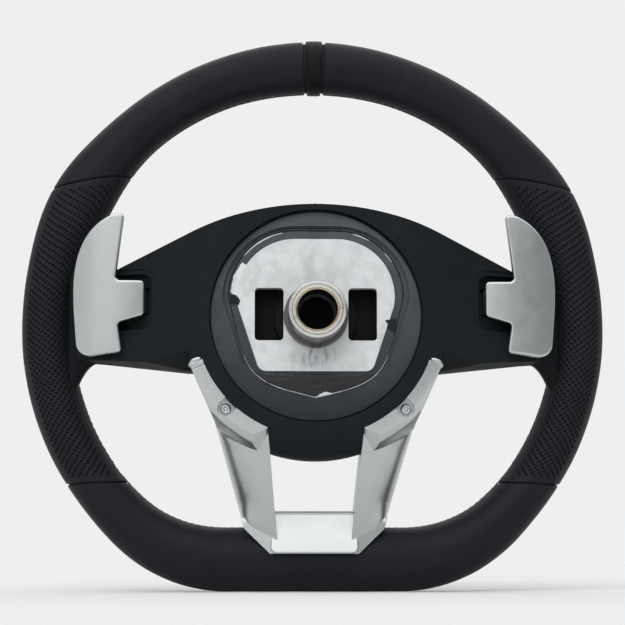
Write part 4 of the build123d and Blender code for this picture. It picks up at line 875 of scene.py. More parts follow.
@dataclass(frozen=True)
class RimShape:
    """Centre line and section of the rim, the same as in the CAD, in millimetres.

    Places are given as s, the length along the centre line from the top, positive to the right as
    seen from the back, and t, the angle around the section: 0 outwards, a quarter turn to the back,
    half a turn towards the hub.
    """

    mid_y: float = 80.0
    radius: float = 172.3
    flat_drop: float = 150.2
    corner_radius: float = 90.0
    width: float = 16.4
    depth: float = 15.6
    top_swell: float = 1.2
    top_spread: float = 60.0
    thumb_swell: float = 3.9
    thumb_at: float = 62.0
    thumb_spread: float = 38.0
    flat_swell: float = 3.9
    flat_ramp_at: float = 0.5
    flat_ramp: float = 1.5
    seam_reach: float = 4.0
    seam_halvings: int = 40

    @property
    def corner_centre(self) -> Pair:
        """Distances of a bottom corner's centre from the middle and below the hub."""
        drop = self.flat_drop - self.corner_radius
        return math.sqrt((self.radius - self.corner_radius) ** 2 - drop ** 2), drop

    @property
    def arc_angle(self) -> float:
        """Angle of the large arc, from the top to where a corner begins."""
        across, drop = self.corner_centre
        return math.pi / 2 + math.atan2(drop, across)

    @property
    def arc_length(self) -> float:
        """Length of half the large arc."""
        return self.radius * self.arc_angle

    @property
    def corner_length(self) -> float:
        """Length of one bottom corner."""
        return self.corner_radius * (math.pi - self.arc_angle)

    @property
    def half_length(self) -> float:
        """Length from the top to the middle of the flat."""
        return self.arc_length + self.corner_length + self.corner_centre[0]

    def half_width(self, s: np.ndarray) -> np.ndarray:
        """Half width of the section.

        Args:
            s: wrapped places along the centre line.

        Returns:
            A half width for each place.
        """
        away = np.abs(s)
        thumb = self.radius * math.radians(self.thumb_at)
        share = ((away - self.arc_length) / self.corner_length + self.flat_ramp_at) / self.flat_ramp
        share = np.clip(share, 0, 1)
        swell = self.top_swell * np.exp(-((away / self.top_spread) ** 2))
        swell = swell + self.thumb_swell * np.exp(-(((away - thumb) / self.thumb_spread) ** 2))
        return self.width + swell + self.flat_swell * share * share * (3 - 2 * share)

    def centre(self, s: np.ndarray) -> tuple[np.ndarray, np.ndarray, np.ndarray]:
        """Centre line.

        Args:
            s: wrapped places along it.

        Returns:
            The points' X and Z, and the angle of the outward direction.
        """
        away = np.abs(s)
        across, drop = self.corner_centre
        in_corner = away > self.arc_length
        on_flat = away > self.arc_length + self.corner_length
        angle = np.pi / 2 - away / self.radius
        bend = np.pi / 2 - self.arc_angle - (away - self.arc_length) / self.corner_radius
        angle = np.where(on_flat, -np.pi / 2, np.where(in_corner, bend, angle))
        x = np.where(in_corner, across + self.corner_radius * np.cos(angle), self.radius * np.cos(angle))
        z = np.where(in_corner, -drop + self.corner_radius * np.sin(angle), self.radius * np.sin(angle))
        x = np.where(on_flat, self.half_length - away, x)
        left = s < 0
        return np.where(left, -x, x), z, np.where(left, np.pi - angle, angle)

    def wrap(self, s: np.ndarray) -> np.ndarray:
        """Places past the middle of the flat, counted from the other side."""
        return (s + self.half_length) % (2 * self.half_length) - self.half_length

    def point(self, s: np.ndarray, t: np.ndarray, lift: np.ndarray = 0.0) -> np.ndarray:
        """Points on the rim's skin.

        Args:
            s: places along the centre line.
            t: angles around the section.
            lift: how far the points are moved out.

        Returns:
            Points (x, y, z) in millimetres.
        """
        s, t = np.broadcast_arrays(self.wrap(np.asarray(s, float)), t)
        x, z, angle = self.centre(s)
        out = (self.half_width(s) + lift) * np.cos(t)
        back = (self.depth + lift) * np.sin(t)
        return np.stack([x + out * np.cos(angle), self.mid_y - back, z + out * np.sin(angle)], axis=-1)

    def seam(self, at: float, tilt: float, shift: float) -> SeamLine:
        """A straight seam across the right side.

        Args:
            at: degrees from the top.
            tilt: how far the seam's plane leans, in degrees.
            shift: how far the line is moved up, in millimetres.

        Returns:
            A function from angles t to places s on the seam.
        """
        middle = self.radius * math.radians(at)
        origin = self.point(np.array(middle), np.array(np.pi / 2))
        lean = math.radians(tilt)
        upright = np.array([math.sin(lean), 0.0, math.cos(lean)])

        def line(t: np.ndarray) -> np.ndarray:
            """Finds by halving where the skin crosses the seam's plane.

            Args:
                t: angles around the section.

            Returns:
                Places s.
            """
            low, high = (np.full_like(t, middle + way * self.seam_reach * self.width) for way in (-1, 1))
            for _ in range(self.seam_halvings):
                s = (low + high) / 2
                above = (self.point(s, t) - origin) @ upright > shift
                low, high = np.where(above, s, low), np.where(above, high, s)
            return (low + high) / 2

        return line


@dataclass
class LeatherRim:
    """The sewn leather of the rim, with its seams, stitches, perforations and top band."""

    shape: RimShape = RimShape()
    thickness: float = 1.2
    columns: int = 84
    row_step: float = 2.2
    least_rows: int = 4
    inner_rows: int = 24
    edge_run: tuple[float, ...] = (0.0, 0.15, 0.45, 0.95, 1.8)
    edge_sink: tuple[float, ...] = (0.95, 0.5, 0.2, 0.06, 0.0)
    seam_gap: float = 0.8
    upper_seam: Pair = (57.2, 9.1)
    lower_seam: Pair = (126.4, 2.9)
    seam_groove: float = 0.7
    groove_half: float = 0.9
    seam_pucker: float = 0.08
    pucker_half: float = 3.2
    wave_size: float = 21.0
    wave_height: float = 0.14
    fold_amount: float = 0.45
    fold_at: float = 84.0
    fold_turn: float = 2.55
    fold_half: Pair = (13.0, 8.5)
    fold_slant: float = 0.55
    fold_pitch: float = 6.0
    band_width: float = 10.0
    band_groove: float = 1.6
    band_proud: float = 0.6
    band_roll: Pair = (0.25, 0.9)
    band_rise: Triple = (-0.3, 0.25, 0.12)
    band_waves: float = 0.5
    stitch_pitch: float = 5.2
    stitch_length: float = 4.6
    stitch_width: float = 0.85
    stitch_aside: float = 1.55
    stitch_half: float = 1.1
    stitch_lean: float = 0.1
    thread_from_band: float = 2.0
    thread_to_seam: float = 4.0
    thread_from_seam: float = 6.0
    thread_from_corner: float = 5.0
    hole_step_along: float = 2.05
    hole_columns: int = 52
    hole_radius: float = 0.78
    hole_depth: float = 0.55
    plain_rows: int = 2
    plain_strip: float = 44.0
    plain_edge: float = 44.0
    root_rows: int = 22
    root_columns: int = 40
    root_from: float = 137.0
    root_run: float = 21.0
    root_top: float = 28.0
    root_bottom: float = -26.0
    root_drop: float = -10.0
    root_flare: float = 34.5
    root_curl: float = 2.25
    root_square: float = 0.75
    root_depth: Pair = (69.0, 8.5)
    root_half: Pair = (9.0, -0.5)

    def relief(self, s: np.ndarray, t: np.ndarray) -> np.ndarray:
        """Height of the leather over the plain skin: stitched seam, puckers and soft waves.

        Args:
            s: places along the rim.
            t: angles around its section.

        Returns:
            Heights in millimetres.
        """
        around = (t - np.pi) * self.shape.half_width(self.shape.wrap(s))
        groove = -self.seam_groove * np.exp(-((around / self.groove_half) ** 2))
        pull = np.exp(-((around / self.pucker_half) ** 2)) * np.cos(FULL_TURN * s / self.stitch_pitch)
        return groove + self.seam_pucker * pull + self.waves(s, t)

    def waves(self, s: np.ndarray, t: np.ndarray) -> np.ndarray:
        """Soft unevenness of hand-stretched leather.

        Args:
            s: places along the rim.
            t: angles around its section.

        Returns:
            Heights in millimetres.
        """
        places = self.shape.point(s, t)
        swell = np.array([noise.noise(Vector(spot / self.wave_size)) for spot in places.reshape(-1, 3)])
        return self.wave_height * swell.reshape(places.shape[:-1])

    def folds(self, s: np.ndarray, t: np.ndarray) -> np.ndarray:
        """Creases that fan out where the grip bends in below the thumb rest.

        Args:
            s: places along the rim.
            t: angles around its section.

        Returns:
            Heights in millimetres.
        """
        along = s - self.shape.radius * math.radians(self.fold_at)
        across = (t - self.fold_turn) * self.shape.width
        near = np.exp(-((along / self.fold_half[0]) ** 2) - ((across / self.fold_half[1]) ** 2))
        slanted = along + self.fold_slant * across
        return self.fold_amount * near * np.cos(FULL_TURN * slanted / self.fold_pitch)

    def line(self, seam: Pair, way: int) -> SeamLine:
        """One edge of a seam's gap: way is 1 for the upper edge and -1 for the lower."""
        return self.shape.seam(*seam, way * self.seam_gap / 2)

    def edge_rows(self, start: np.ndarray, stop: np.ndarray) -> tuple[np.ndarray, np.ndarray]:
        """Rows of a patch from one tucked edge to the other.

        Args:
            start: places of the first edge, one for each column.
            stop: places of the second edge.

        Returns:
            Places s with a row for each line of vertices, and how far each row is sunk.
        """
        run, sink = np.array(self.edge_run), np.array(self.edge_sink)
        count = max(self.least_rows, int(np.max(stop - start) / self.row_step))
        share = np.linspace(0, 1, count + 1)[1:-1, None]
        low, high = start + run[-1], stop - run[-1]
        rows = np.concatenate([start + run[:, None], low + share * (high - low), stop - run[::-1, None]])
        return rows, np.concatenate([sink, np.zeros(count - 1), sink[::-1]])

    def sleeve(self, name: str, rows: np.ndarray, lift: np.ndarray) -> Thing:
        """A skin that closes on itself both ways.

        Args:
            name: the piece's name.
            rows: places s, a row for each line of points round the section.
            lift: how far each point lies over the rim's plain skin.

        Returns:
            The new object.
        """
        grid = self.shape.point(rows, turns(self.columns), lift)
        faces = [(a, d, c, b) for a, b, c, d in quads(len(rows), self.columns, rows_close=True)]
        return new_object(name, grid.reshape(-1, 3), faces)

    def patch(self, name: str, start: SeamLine, stop: SeamLine) -> Thing:
        """A closed piece of smooth leather between two lines.

        Args:
            name: the piece's name.
            start: line where the piece begins.
            stop: line where it ends.

        Returns:
            The new object.
        """
        t = turns(self.columns)
        rows, sink = self.edge_rows(start(t), stop(t))
        share = np.linspace(1, 0, self.inner_rows)[:, None]
        inner = rows[0] + share * (rows[-1] - rows[0])
        lift = [self.relief(rows, t) - sink[:, None], np.full(inner.shape, -self.thickness)]
        return self.sleeve(name, np.concatenate([rows, inner]), np.concatenate(lift))

    def band(self) -> Thing:
        """The raised band at twelve o'clock, with rolled edges.

        Returns:
            The new object.
        """
        half = self.band_width / 2
        edge, shoulder = self.band_roll
        run = (-half, -half, edge - half, shoulder - half, -half / 3)
        low, high, crown = self.band_rise
        rise = (-self.thickness, low, high, self.band_proud, self.band_proud + crown)
        rows = np.repeat(np.array(run + tuple(-way for way in run[::-1]))[:, None], self.columns, axis=1)
        lift = np.array(rise + rise[::-1])[:, None] + self.band_waves * self.waves(rows, turns(self.columns))
        return self.sleeve("twelve_o_clock_band", rows, lift)

    def grip(self, name: str) -> Thing:
        """The right perforated grip: a skin of diamond cells, each ready for a hole.

        Args:
            name: the piece's name.

        Returns:
            The new object, with its cells marked for punching.
        """
        columns = self.hole_columns
        t = turns(columns)
        start, stop = self.line(self.upper_seam, -1)(t), self.line(self.lower_seam, 1)(t)
        low, high = start + self.edge_run[-1], stop - self.edge_run[-1]
        steps = 2 * int(np.mean(high - low) / self.hole_step_along / 2)

        def place(row: float, column: float) -> Pair:
            """Where a point of the cells' grid lies.

            Args:
                row: the point's row.
                column: its column.

            Returns:
                Its place s and angle t.
            """
            turn = column % columns
            first, share = int(turn), turn - int(turn)
            second = (first + 1) % columns
            begin, end = (edge[first] * (1 - share) + edge[second] * share for edge in (low, high))
            return begin + row / steps * (end - begin), FULL_TURN * turn / columns

        spots: dict[Pair, int] = {}
        places: list[Pair] = []

        def corner(row: float, column: float) -> int:
            """The vertex at a point of the cells' grid, made once.

            Args:
                row: the point's row.
                column: its column.

            Returns:
                The vertex's number.
            """
            key = (row, column % columns)
            if key not in spots:
                spots[key] = len(places)
                places.append(place(*key))
            return spots[key]

        rings = [[corner(row, column) for column in range(columns)] for row in (0, steps)]
        edge, strip = math.radians(self.plain_edge), math.radians(self.plain_strip)
        faces, punched = [], []
        for row in range(steps + 1):
            for column in range(row % 2, columns, 2):
                faces.append([corner(*spot) for spot in reversed(self.cell(row, column, steps))])
                angle = place(row, column)[1]
                clear = edge < angle < FULL_TURN - edge and abs(angle - np.pi) > strip
                punched.append(bool(clear and self.plain_rows <= row <= steps - self.plain_rows))
        s, angle = np.array(places).T
        outside = self.shape.point(s, angle, self.relief(s, angle) + self.folds(s, angle))
        tuck, tuck_faces = self.grip_lining(rings, t, start, stop, len(places))
        made = new_object(name, np.concatenate([outside, tuck]), faces + tuck_faces)
        mark(made, "punched", "BOOLEAN", "FACE", punched + [False] * len(tuck_faces))
        return made

    @staticmethod
    def cell(row: int, column: int, steps: int) -> list[Pair]:
        """Corners of a diamond cell, or of half a one at the first or last row.

        Args:
            row: the cell's row.
            column: its column.
            steps: the last row's number.

        Returns:
            Rows and columns of the corners, in order round the cell.
        """
        around = ((-1, 0), (-0.5, 0.5), (0, 1), (0.5, 0.5), (1, 0), (0.5, -0.5), (0, -1), (-0.5, -0.5))
        if row == 0:
            around = ((0, 0), *around[2:7])
        elif row == steps:
            around = (*around[:3], (0, 0), *around[6:])
        return [(row + down, column + side) for down, side in around]

    def grip_lining(self, rings: list[list[int]], t: np.ndarray, start: np.ndarray, stop: np.ndarray,
                    first: int) -> tuple[np.ndarray, Faces]:
        """Tucked edges and inner wall of a grip.

        Args:
            rings: vertex numbers of the skin's first and last rings.
            t: angles of the columns.
            start: places of the first edge.
            stop: places of the second edge.
            first: number of the first new vertex.

        Returns:
            New vertices and faces that close the skin.
        """
        run, sink = np.array(self.edge_run)[:-1], np.array(self.edge_sink)[:-1]
        share = np.linspace(1, 0, self.inner_rows)[:, None]
        rows = np.concatenate([stop - run[::-1, None], start + share * (stop - start), start + run[:, None]])
        depth = np.concatenate([sink[::-1], np.full(self.inner_rows, self.thickness), sink])
        new = self.shape.point(rows, t, -depth[:, None]).reshape(-1, 3)
        numbers = (first + np.arange(len(new))).reshape(rows.shape).tolist()
        lines = [rings[1], *numbers, rings[0]]
        faces: Faces = []
        for line, after in zip(lines, lines[1:]):
            for column in range(len(t)):
                beside = (column + 1) % len(t)
                faces.append((line[column], after[column], after[beside], line[beside]))
        return new, faces

    def stitches(self, name: str, start: float, stop: float) -> None:
        """Sews chevron stitches over the inner seam.

        Args:
            name: the piece's name.
            start: place s where the row begins.
            stop: place where it ends.
        """
        count = int((stop - start) / self.stitch_pitch)
        s = start + (np.arange(count) + 0.5) * (stop - start) / count
        points, along = [], []
        for way in (-1, 1):
            t = np.full_like(s, np.pi + way * self.stitch_aside / self.shape.width)
            head, tail = (self.shape.point(s + end * self.stitch_half, t + end * way * self.stitch_lean)
                          for end in (1, -1))
            points.append(self.shape.point(s, t, -self.seam_groove / 2))
            along.append(head - tail)
        thread = new_object(name, np.concatenate(points))
        mark(thread, "along", "FLOAT_VECTOR", "POINT", np.concatenate(along).ravel())
        ThreadRow().apply(thread, Thread_Width=self.stitch_width * MM, Thread_Length=self.stitch_length * MM,
                          Thread_Material=THREAD.material())
        hand_over(thread, THREAD)

    def spoke_root(self) -> Thing:
        """The leather web in the corners between the right spoke and the rim.

        Returns:
            The new object.
        """
        share = np.linspace(0, 1, self.root_rows)[:, None]
        turn = turns(self.root_columns)
        across, up = (np.sign(way) * np.abs(way) ** self.root_square for way in (np.cos(turn), np.sin(turn)))
        flare = self.root_flare * share ** self.root_curl
        top = self.root_top + self.root_drop * share + flare
        bottom = self.root_bottom - flare
        middle, half = (start + gain * share for start, gain in (self.root_depth, self.root_half))
        y = middle + half * across
        z = (top + bottom) / 2 + (top - bottom) / 2 * up
        x = np.broadcast_to(self.root_from + self.root_run * share, z.shape)
        return tube("spoke_root_right", np.stack([x, y, z], axis=-1).reshape(-1, 3), self.root_rows)

    def sew(self, piece: Thing, finish: Finish, *nodes: str) -> None:
        """Completes a piece, and its left copy first if it is a right one.

        Args:
            piece: the object.
            finish: what it is made of.
            nodes: the CAD nodes that it replaces.
        """
        piece.data.materials.append(finish.material())
        if piece.name.endswith(Side.RIGHT.suffix):
            mesh = piece.data.copy()
            mesh.transform(Matrix.Scale(-1, 4, (1, 0, 0)))
            mesh.flip_normals()
            left = linked(piece.name.replace("right", "left"), mesh)
            self.complete(left, finish, *[node.replace("right", "left") for node in nodes])
        self.complete(piece, finish, *nodes)

    def complete(self, piece: Thing, finish: Finish, *nodes: str) -> None:
        """Punches a piece if it is a grip, and hands it over.

        Args:
            piece: the object, with its own material.
            finish: what it is made of.
            nodes: the CAD nodes that it replaces.
        """
        if "punched" in piece.data.attributes:
            PunchedHoles().apply(piece, Hole_Radius=self.hole_radius * MM, Hole_Depth=self.hole_depth * MM,
                                 Hole_Material=HOLE_SHADE.material())
        hand_over(piece, finish, *nodes)

    def build(self) -> None:
        """Makes and hands over every piece of the leather."""
        groove = self.band_width / 2 + self.band_groove
        round_trip = 2 * self.shape.half_length
        upper, lower = self.line(self.upper_seam, 1), self.line(self.lower_seam, -1)
        top = self.patch("top_hide_right", lambda t: np.full_like(t, groove), upper)
        bottom = self.patch("bottom_hide", lower, lambda t: round_trip - lower(t))
        for piece, finish, node in (
            (top, BLACK_NAPPA, "top_leather_right"), (bottom, BLACK_NAPPA, "bottom_leather"),
            (self.band(), BAND_HIDE, "top_marker"),
            (self.grip("grip_hide_right"), PERFORATED_HIDE, "grip_leather_right"),
        ):
            self.sew(piece, finish, node)
        self.sew(self.spoke_root(), ROOT_HIDE)
        high, low = (self.shape.radius * math.radians(seam[0]) for seam in (self.upper_seam, self.lower_seam))
        for part, start, stop in (
            ("top", groove + self.thread_from_band, high - self.thread_to_seam),
            ("grip", high + self.thread_from_seam, low - self.thread_to_seam),
        ):
            self.stitches(f"thread_{part}_right", start, stop)
            self.stitches(f"thread_{part}_left", -stop, -start)
        corner = low + self.thread_from_corner
        self.stitches("thread_bottom", corner, round_trip - corner)


@dataclass
class HubAndSpokes:
    """The casting, the steel hub, the foam and the covers."""

    pip_radius: float = 0.75
    pip_height: float = 0.3
    pip_sides: int = 12
    pip_profile: tuple[Pair, ...] = ((1.0, -1.0), (1.0, 0.5), (0.8, 0.85), (0.4, 1.0))
    cover_y: float = 24.0
    pips: tuple[Pair, ...] = ((-0.6, 69.4), (0.4, -67.8), (-46.9, 51.1), (51.0, 48.4), (-53.4, -41.7))

    def build(self) -> None:
        """Dresses each piece and sets the locating pips on the cover."""
        dress(HUB_ALLOY, "armature")
        dress(HUB_STEEL, "splined_hub")
        dress(HUB_FOAM, "hub_foam")
        dress(RIM_FOAM, "rim_foam")
        dress(COVER_BLACK, "rear_cover", "front_cover")
        rings = [(radius * self.pip_radius, -height * self.pip_height) for radius, height in self.pip_profile]
        places = [(x, self.cover_y, z) for x, z in self.pips]
        PlacedCopies.lay_out("cover_pips", turned("pip", rings, self.pip_sides), places, PIP_BLACK)


@dataclass
class FoamDetail:
    """Edges and flaws of the hub's foam: steps, bare metal, torn skin and a crumpled film."""

    floor_y: float = 31.8
    flat_half: float = 13.0
    arc_z: float = 12.6
    arc_points: int = 60
    inner_step: float = 41.6
    outer_step: float = 43.1
    sliver_inset: float = 0.8
    slivers: tuple[Triple, ...] = (
        (-50.5, -21.0, 1.1), (22.7, 36.0, 0.8), (46.0, 54.5, 0.6), (118.0, 242.0, 0.62),
    )
    hip: Pair = (45.0, -29.6)
    knee: Pair = (29.8, -43.5)
    point_z: float = -50.9
    corner_cuts: int = 4
    corner_share: float = 0.25
    point_step: float = 0.8
    bead_noise: float = 4.0
    bead_swing: float = 0.45
    bead_tip: float = 0.02
    rag: float = 0.45
    rag_steps: int = 4
    scrap_sink: float = 0.2
    film_half: float = 36.0
    film_top: float = -35.4
    film_inset: float = 1.0
    film_columns: int = 90
    film_rows: int = 22
    film_crumple: float = 0.55
    film_ridges: tuple[tuple[float, float, float, float], ...] = ((1.0, 0.11, 0.2, 3.0), (0.6, 0.3, 0.5, 8.0))
    film_fade: Pair = (6.0, 8.0)
    film_sink: Triple = (0.1, 0.15, 0.15)
    bare_patch: tuple[Pair, ...] = (
        (-49.8, 12.0), (-48.8, 17.0), (-47.0, 22.4), (-44.4, 27.4), (-41.4, 31.7), (-43.9, 32.2),
        (-46.2, 33.6), (-48.9, 29.6), (-51.3, 25.4), (-52.7, 20.0), (-53.3, 14.7), (-51.3, 13.6),
    )
    torn_left: tuple[Pair, ...] = (
        (-53.6, 8.4), (-51.4, 7.2), (-49.9, 8.2), (-48.1, 6.6), (-47.3, 9.2), (-48.3, 11.8), (-50.6, 13.4),
        (-53.4, 14.0),
    )
    torn_right: tuple[Pair, ...] = (
        (44.3, -6.8), (46.6, -8.6), (49.6, -9.6), (50.0, -1.2), (45.2, -2.2), (42.9, -2.8), (44.9, -4.6),
    )
    chip: tuple[Pair, ...] = (
        (-2.0, -50.9), (3.2, -50.3), (7.6, -49.3), (10.8, -48.5), (8.2, -47.7), (5.6, -47.3), (2.6, -48.6),
        (0.8, -49.9),
    )
    patch_y: float = 31.3
    chip_y: float = 31.2
    torn_y: float = 30.7

    def contour(self, radius: float) -> np.ndarray:
        """A closed D-shaped line on the floor, clockwise from the bottom as seen from the back.

        Args:
            radius: radius of its two upper corners, in millimetres.

        Returns:
            Closely spaced points (x, z).
        """
        angle = np.linspace(np.pi / 2, 0, self.arc_points)
        arc = (self.flat_half, self.arc_z) + radius * np.stack([np.cos(angle), np.sin(angle)], axis=-1)
        lower = np.array([arc[-1], self.hip, self.knee, (0.0, self.point_z)])
        near, far = 1 - self.corner_share, self.corner_share
        for _ in range(self.corner_cuts):
            cut = [share * here + (1 - share) * there for here, there in zip(lower, lower[1:])
                   for share in (near, far)]
            lower = np.array([lower[0], *cut, lower[-1]])
        corners = np.array([(0.0, self.arc_z + radius), *arc, *lower[1:]])
        right = []
        for here, there in zip(corners, corners[1:]):
            count = max(1, int(np.linalg.norm(there - here) / self.point_step))
            right += [here + (there - here) * k / count for k in range(count)]
        right = np.array([*right, corners[-1]])
        return np.concatenate([right[:0:-1] * (-1, 1), right])

    def bead(self, name: str, radius: float, span: Pair, width: float, finish: Finish) -> None:
        """A bead or sliver along part of a contour.

        Args:
            name: the piece's name.
            radius: which contour it follows.
            span: degrees clockwise from the top where it begins and ends.
            width: its full width in millimetres.
            finish: what it is made of.
        """
        line = self.contour(radius)
        turn = np.degrees(np.arctan2(line[:, 0], line[:, 1]))
        if span[1] > 180:
            line = np.roll(line, -int(np.argmax(turn > 0)), axis=0)
            turn = np.degrees(np.arctan2(line[:, 0], line[:, 1])) % 360
        kept = line[(turn > span[0]) & (turn < span[1])]
        share = np.linspace(0, 1, len(kept))
        uneven = np.array([noise.noise(Vector((*spot, 0.0)) / self.bead_noise) for spot in kept])
        swell = np.sqrt(np.sin(np.pi * share) + self.bead_tip) * (1 + self.bead_swing * uneven)
        PathBead.run(name, at_depth(kept, self.floor_y), swell, width, finish)

    def scrap(self, name: str, outline: Sequence[Pair], rear: float, finish: Finish) -> None:
        """A thin scrap with a ragged edge.

        Args:
            name: the piece's name.
            outline: its corners (x, z), anticlockwise as seen from the back.
            rear: depth of its rear face.
            finish: what it is made of.
        """
        corners = np.array(outline)
        ring = []
        for here, there in zip(corners, np.roll(corners, -1, axis=0)):
            for share in np.linspace(0, 1, self.rag_steps, endpoint=False):
                spot = here + share * (there - here)
                jag = noise.noise_vector(Vector((*spot, 0.0)))
                ring.append(spot + self.rag * np.array(jag[:2]))
        layers = [at_depth(np.array(ring), y) for y in (self.floor_y + self.scrap_sink, rear)]
        made = tube(name, np.concatenate(layers), len(layers))
        made.data.shade_flat()
        hand_over(made, finish)

    def film(self) -> None:
        """The crumpled film between the plate's foot and the foam's point."""
        across = np.linspace(-1, 1, self.film_columns)
        x = self.film_half * across
        foot = np.array([(0.0, self.point_z), self.knee, self.hip]).T
        low = np.interp(np.abs(x), *foot) + self.film_inset
        share = np.linspace(0, 1, self.film_rows)[:, None]
        z = low + share * (self.film_top - low)
        spots = np.stack([np.broadcast_to(x, z.shape), z], axis=-1)
        ridge = np.array([
            1 - sum(amount * abs(noise.noise(Vector((u * wide, w * high, layer))))
                    for amount, wide, high, layer in self.film_ridges)
            for u, w in spots.reshape(-1, 2)
        ]).reshape(z.shape)
        ends, sides = self.film_fade
        fade = np.minimum(1, ends * share * (1 - share)) * np.minimum(1, sides * (1 - np.abs(across)))
        sink, bulge, under = self.film_sink
        y = self.floor_y + sink - fade * (bulge + self.film_crumple * np.clip(ridge, 0, 1))
        grid = np.concatenate([at_depth(spots, y), at_depth(spots, self.floor_y + under)[::-1]])
        made = new_object("hub_film", grid.reshape(-1, 3), self.wrapped_faces(len(grid), self.film_columns))
        hand_over(face_out(made), FILM)

    @staticmethod
    def wrapped_faces(rows: int, columns: int) -> Faces:
        """Quads of a grid whose rows go round and whose two open sides are closed.

        Args:
            rows: number of rows.
            columns: points in a row.

        Returns:
            Vertex numbers of each face.
        """
        faces = quads(rows, columns, rows_close=True, columns_close=False)
        for side in (0, columns - 1):
            for row in range(rows // 2 - 1):
                ladder = (row, row + 1, rows - 2 - row, rows - 1 - row)
                faces.append(tuple(step * columns + side for step in ladder))
        return faces

    def build(self) -> None:
        """Makes and hands over every detail."""
        self.bead("foam_step_inner", self.inner_step, (-119, 119), 1.0, FOAM_EDGE)
        self.bead("foam_step_outer", self.outer_step, (-62, 62), 0.7, FOAM_EDGE)
        for number, (start, stop, width) in enumerate(self.slivers):
            radius = self.inner_step - self.sliver_inset
            self.bead(f"bare_sliver_{number}", radius, (start, stop), width, BARE_ALLOY)
        self.scrap("bare_patch", self.bare_patch, self.patch_y, BARE_ALLOY)
        self.scrap("bare_chip", self.chip, self.chip_y, BARE_ALLOY)
        self.scrap("torn_skin_left", self.torn_left, self.torn_y, FOAM_EDGE)
        self.scrap("torn_skin_right", self.torn_right, self.torn_y, FOAM_EDGE)
        self.film()


@dataclass(frozen=True)
class FineCopy:
    """A finely cut copy of a metal CAD piece, which can be bent a little."""

    finish: Finish = SATIN_SILVER
    ending: str = "casting"
    grain: float = 2.2
    cuts: int = 6
    crease: float = 24.0
    weld: float = 0.002

    def make(self, node: str, bend: Bend, body: str, span: Pair = EVERY_HEIGHT) -> Thing:
        """Makes the copy and hands it over in place of its node.

        Args:
            node: the CAD node.
            bend: moves points in millimetres, one to a row.
            body: the body that the piece rides on.
            span: heights between which the copy is cut finely.

        Returns:
            The copy.
        """
        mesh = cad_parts[node].data.copy()
        if "custom_normal" in mesh.attributes:
            mesh.attributes.remove(mesh.attributes["custom_normal"])
        form = bmesh.new()
        form.from_mesh(mesh)
        bmesh.ops.remove_doubles(form, verts=form.verts, dist=self.weld * MM)
        low, high = (height * MM for height in span)
        for _ in range(self.cuts):
            long = [edge for edge in form.edges if edge.calc_length() > self.grain * MM
                    and min(end.co.z for end in edge.verts) < high
                    and max(end.co.z for end in edge.verts) > low]
            bmesh.ops.subdivide_edges(form, edges=long, cuts=1)
            bmesh.ops.triangulate(form, faces=form.faces)
        form.to_mesh(mesh)
        form.free()
        spots = np.empty(3 * len(mesh.vertices))
        mesh.vertices.foreach_get("co", spots)
        mesh.vertices.foreach_set("co", (bend(spots.reshape(-1, 3) / MM) * MM).ravel())
        mesh.shade_smooth()
        mesh.set_sharp_from_angle(angle=math.radians(self.crease))
        mesh.materials.clear()
        piece = linked(f"{node}_{self.ending}", mesh)
        hand_over(piece, self.finish, node, body=body)
        return piece


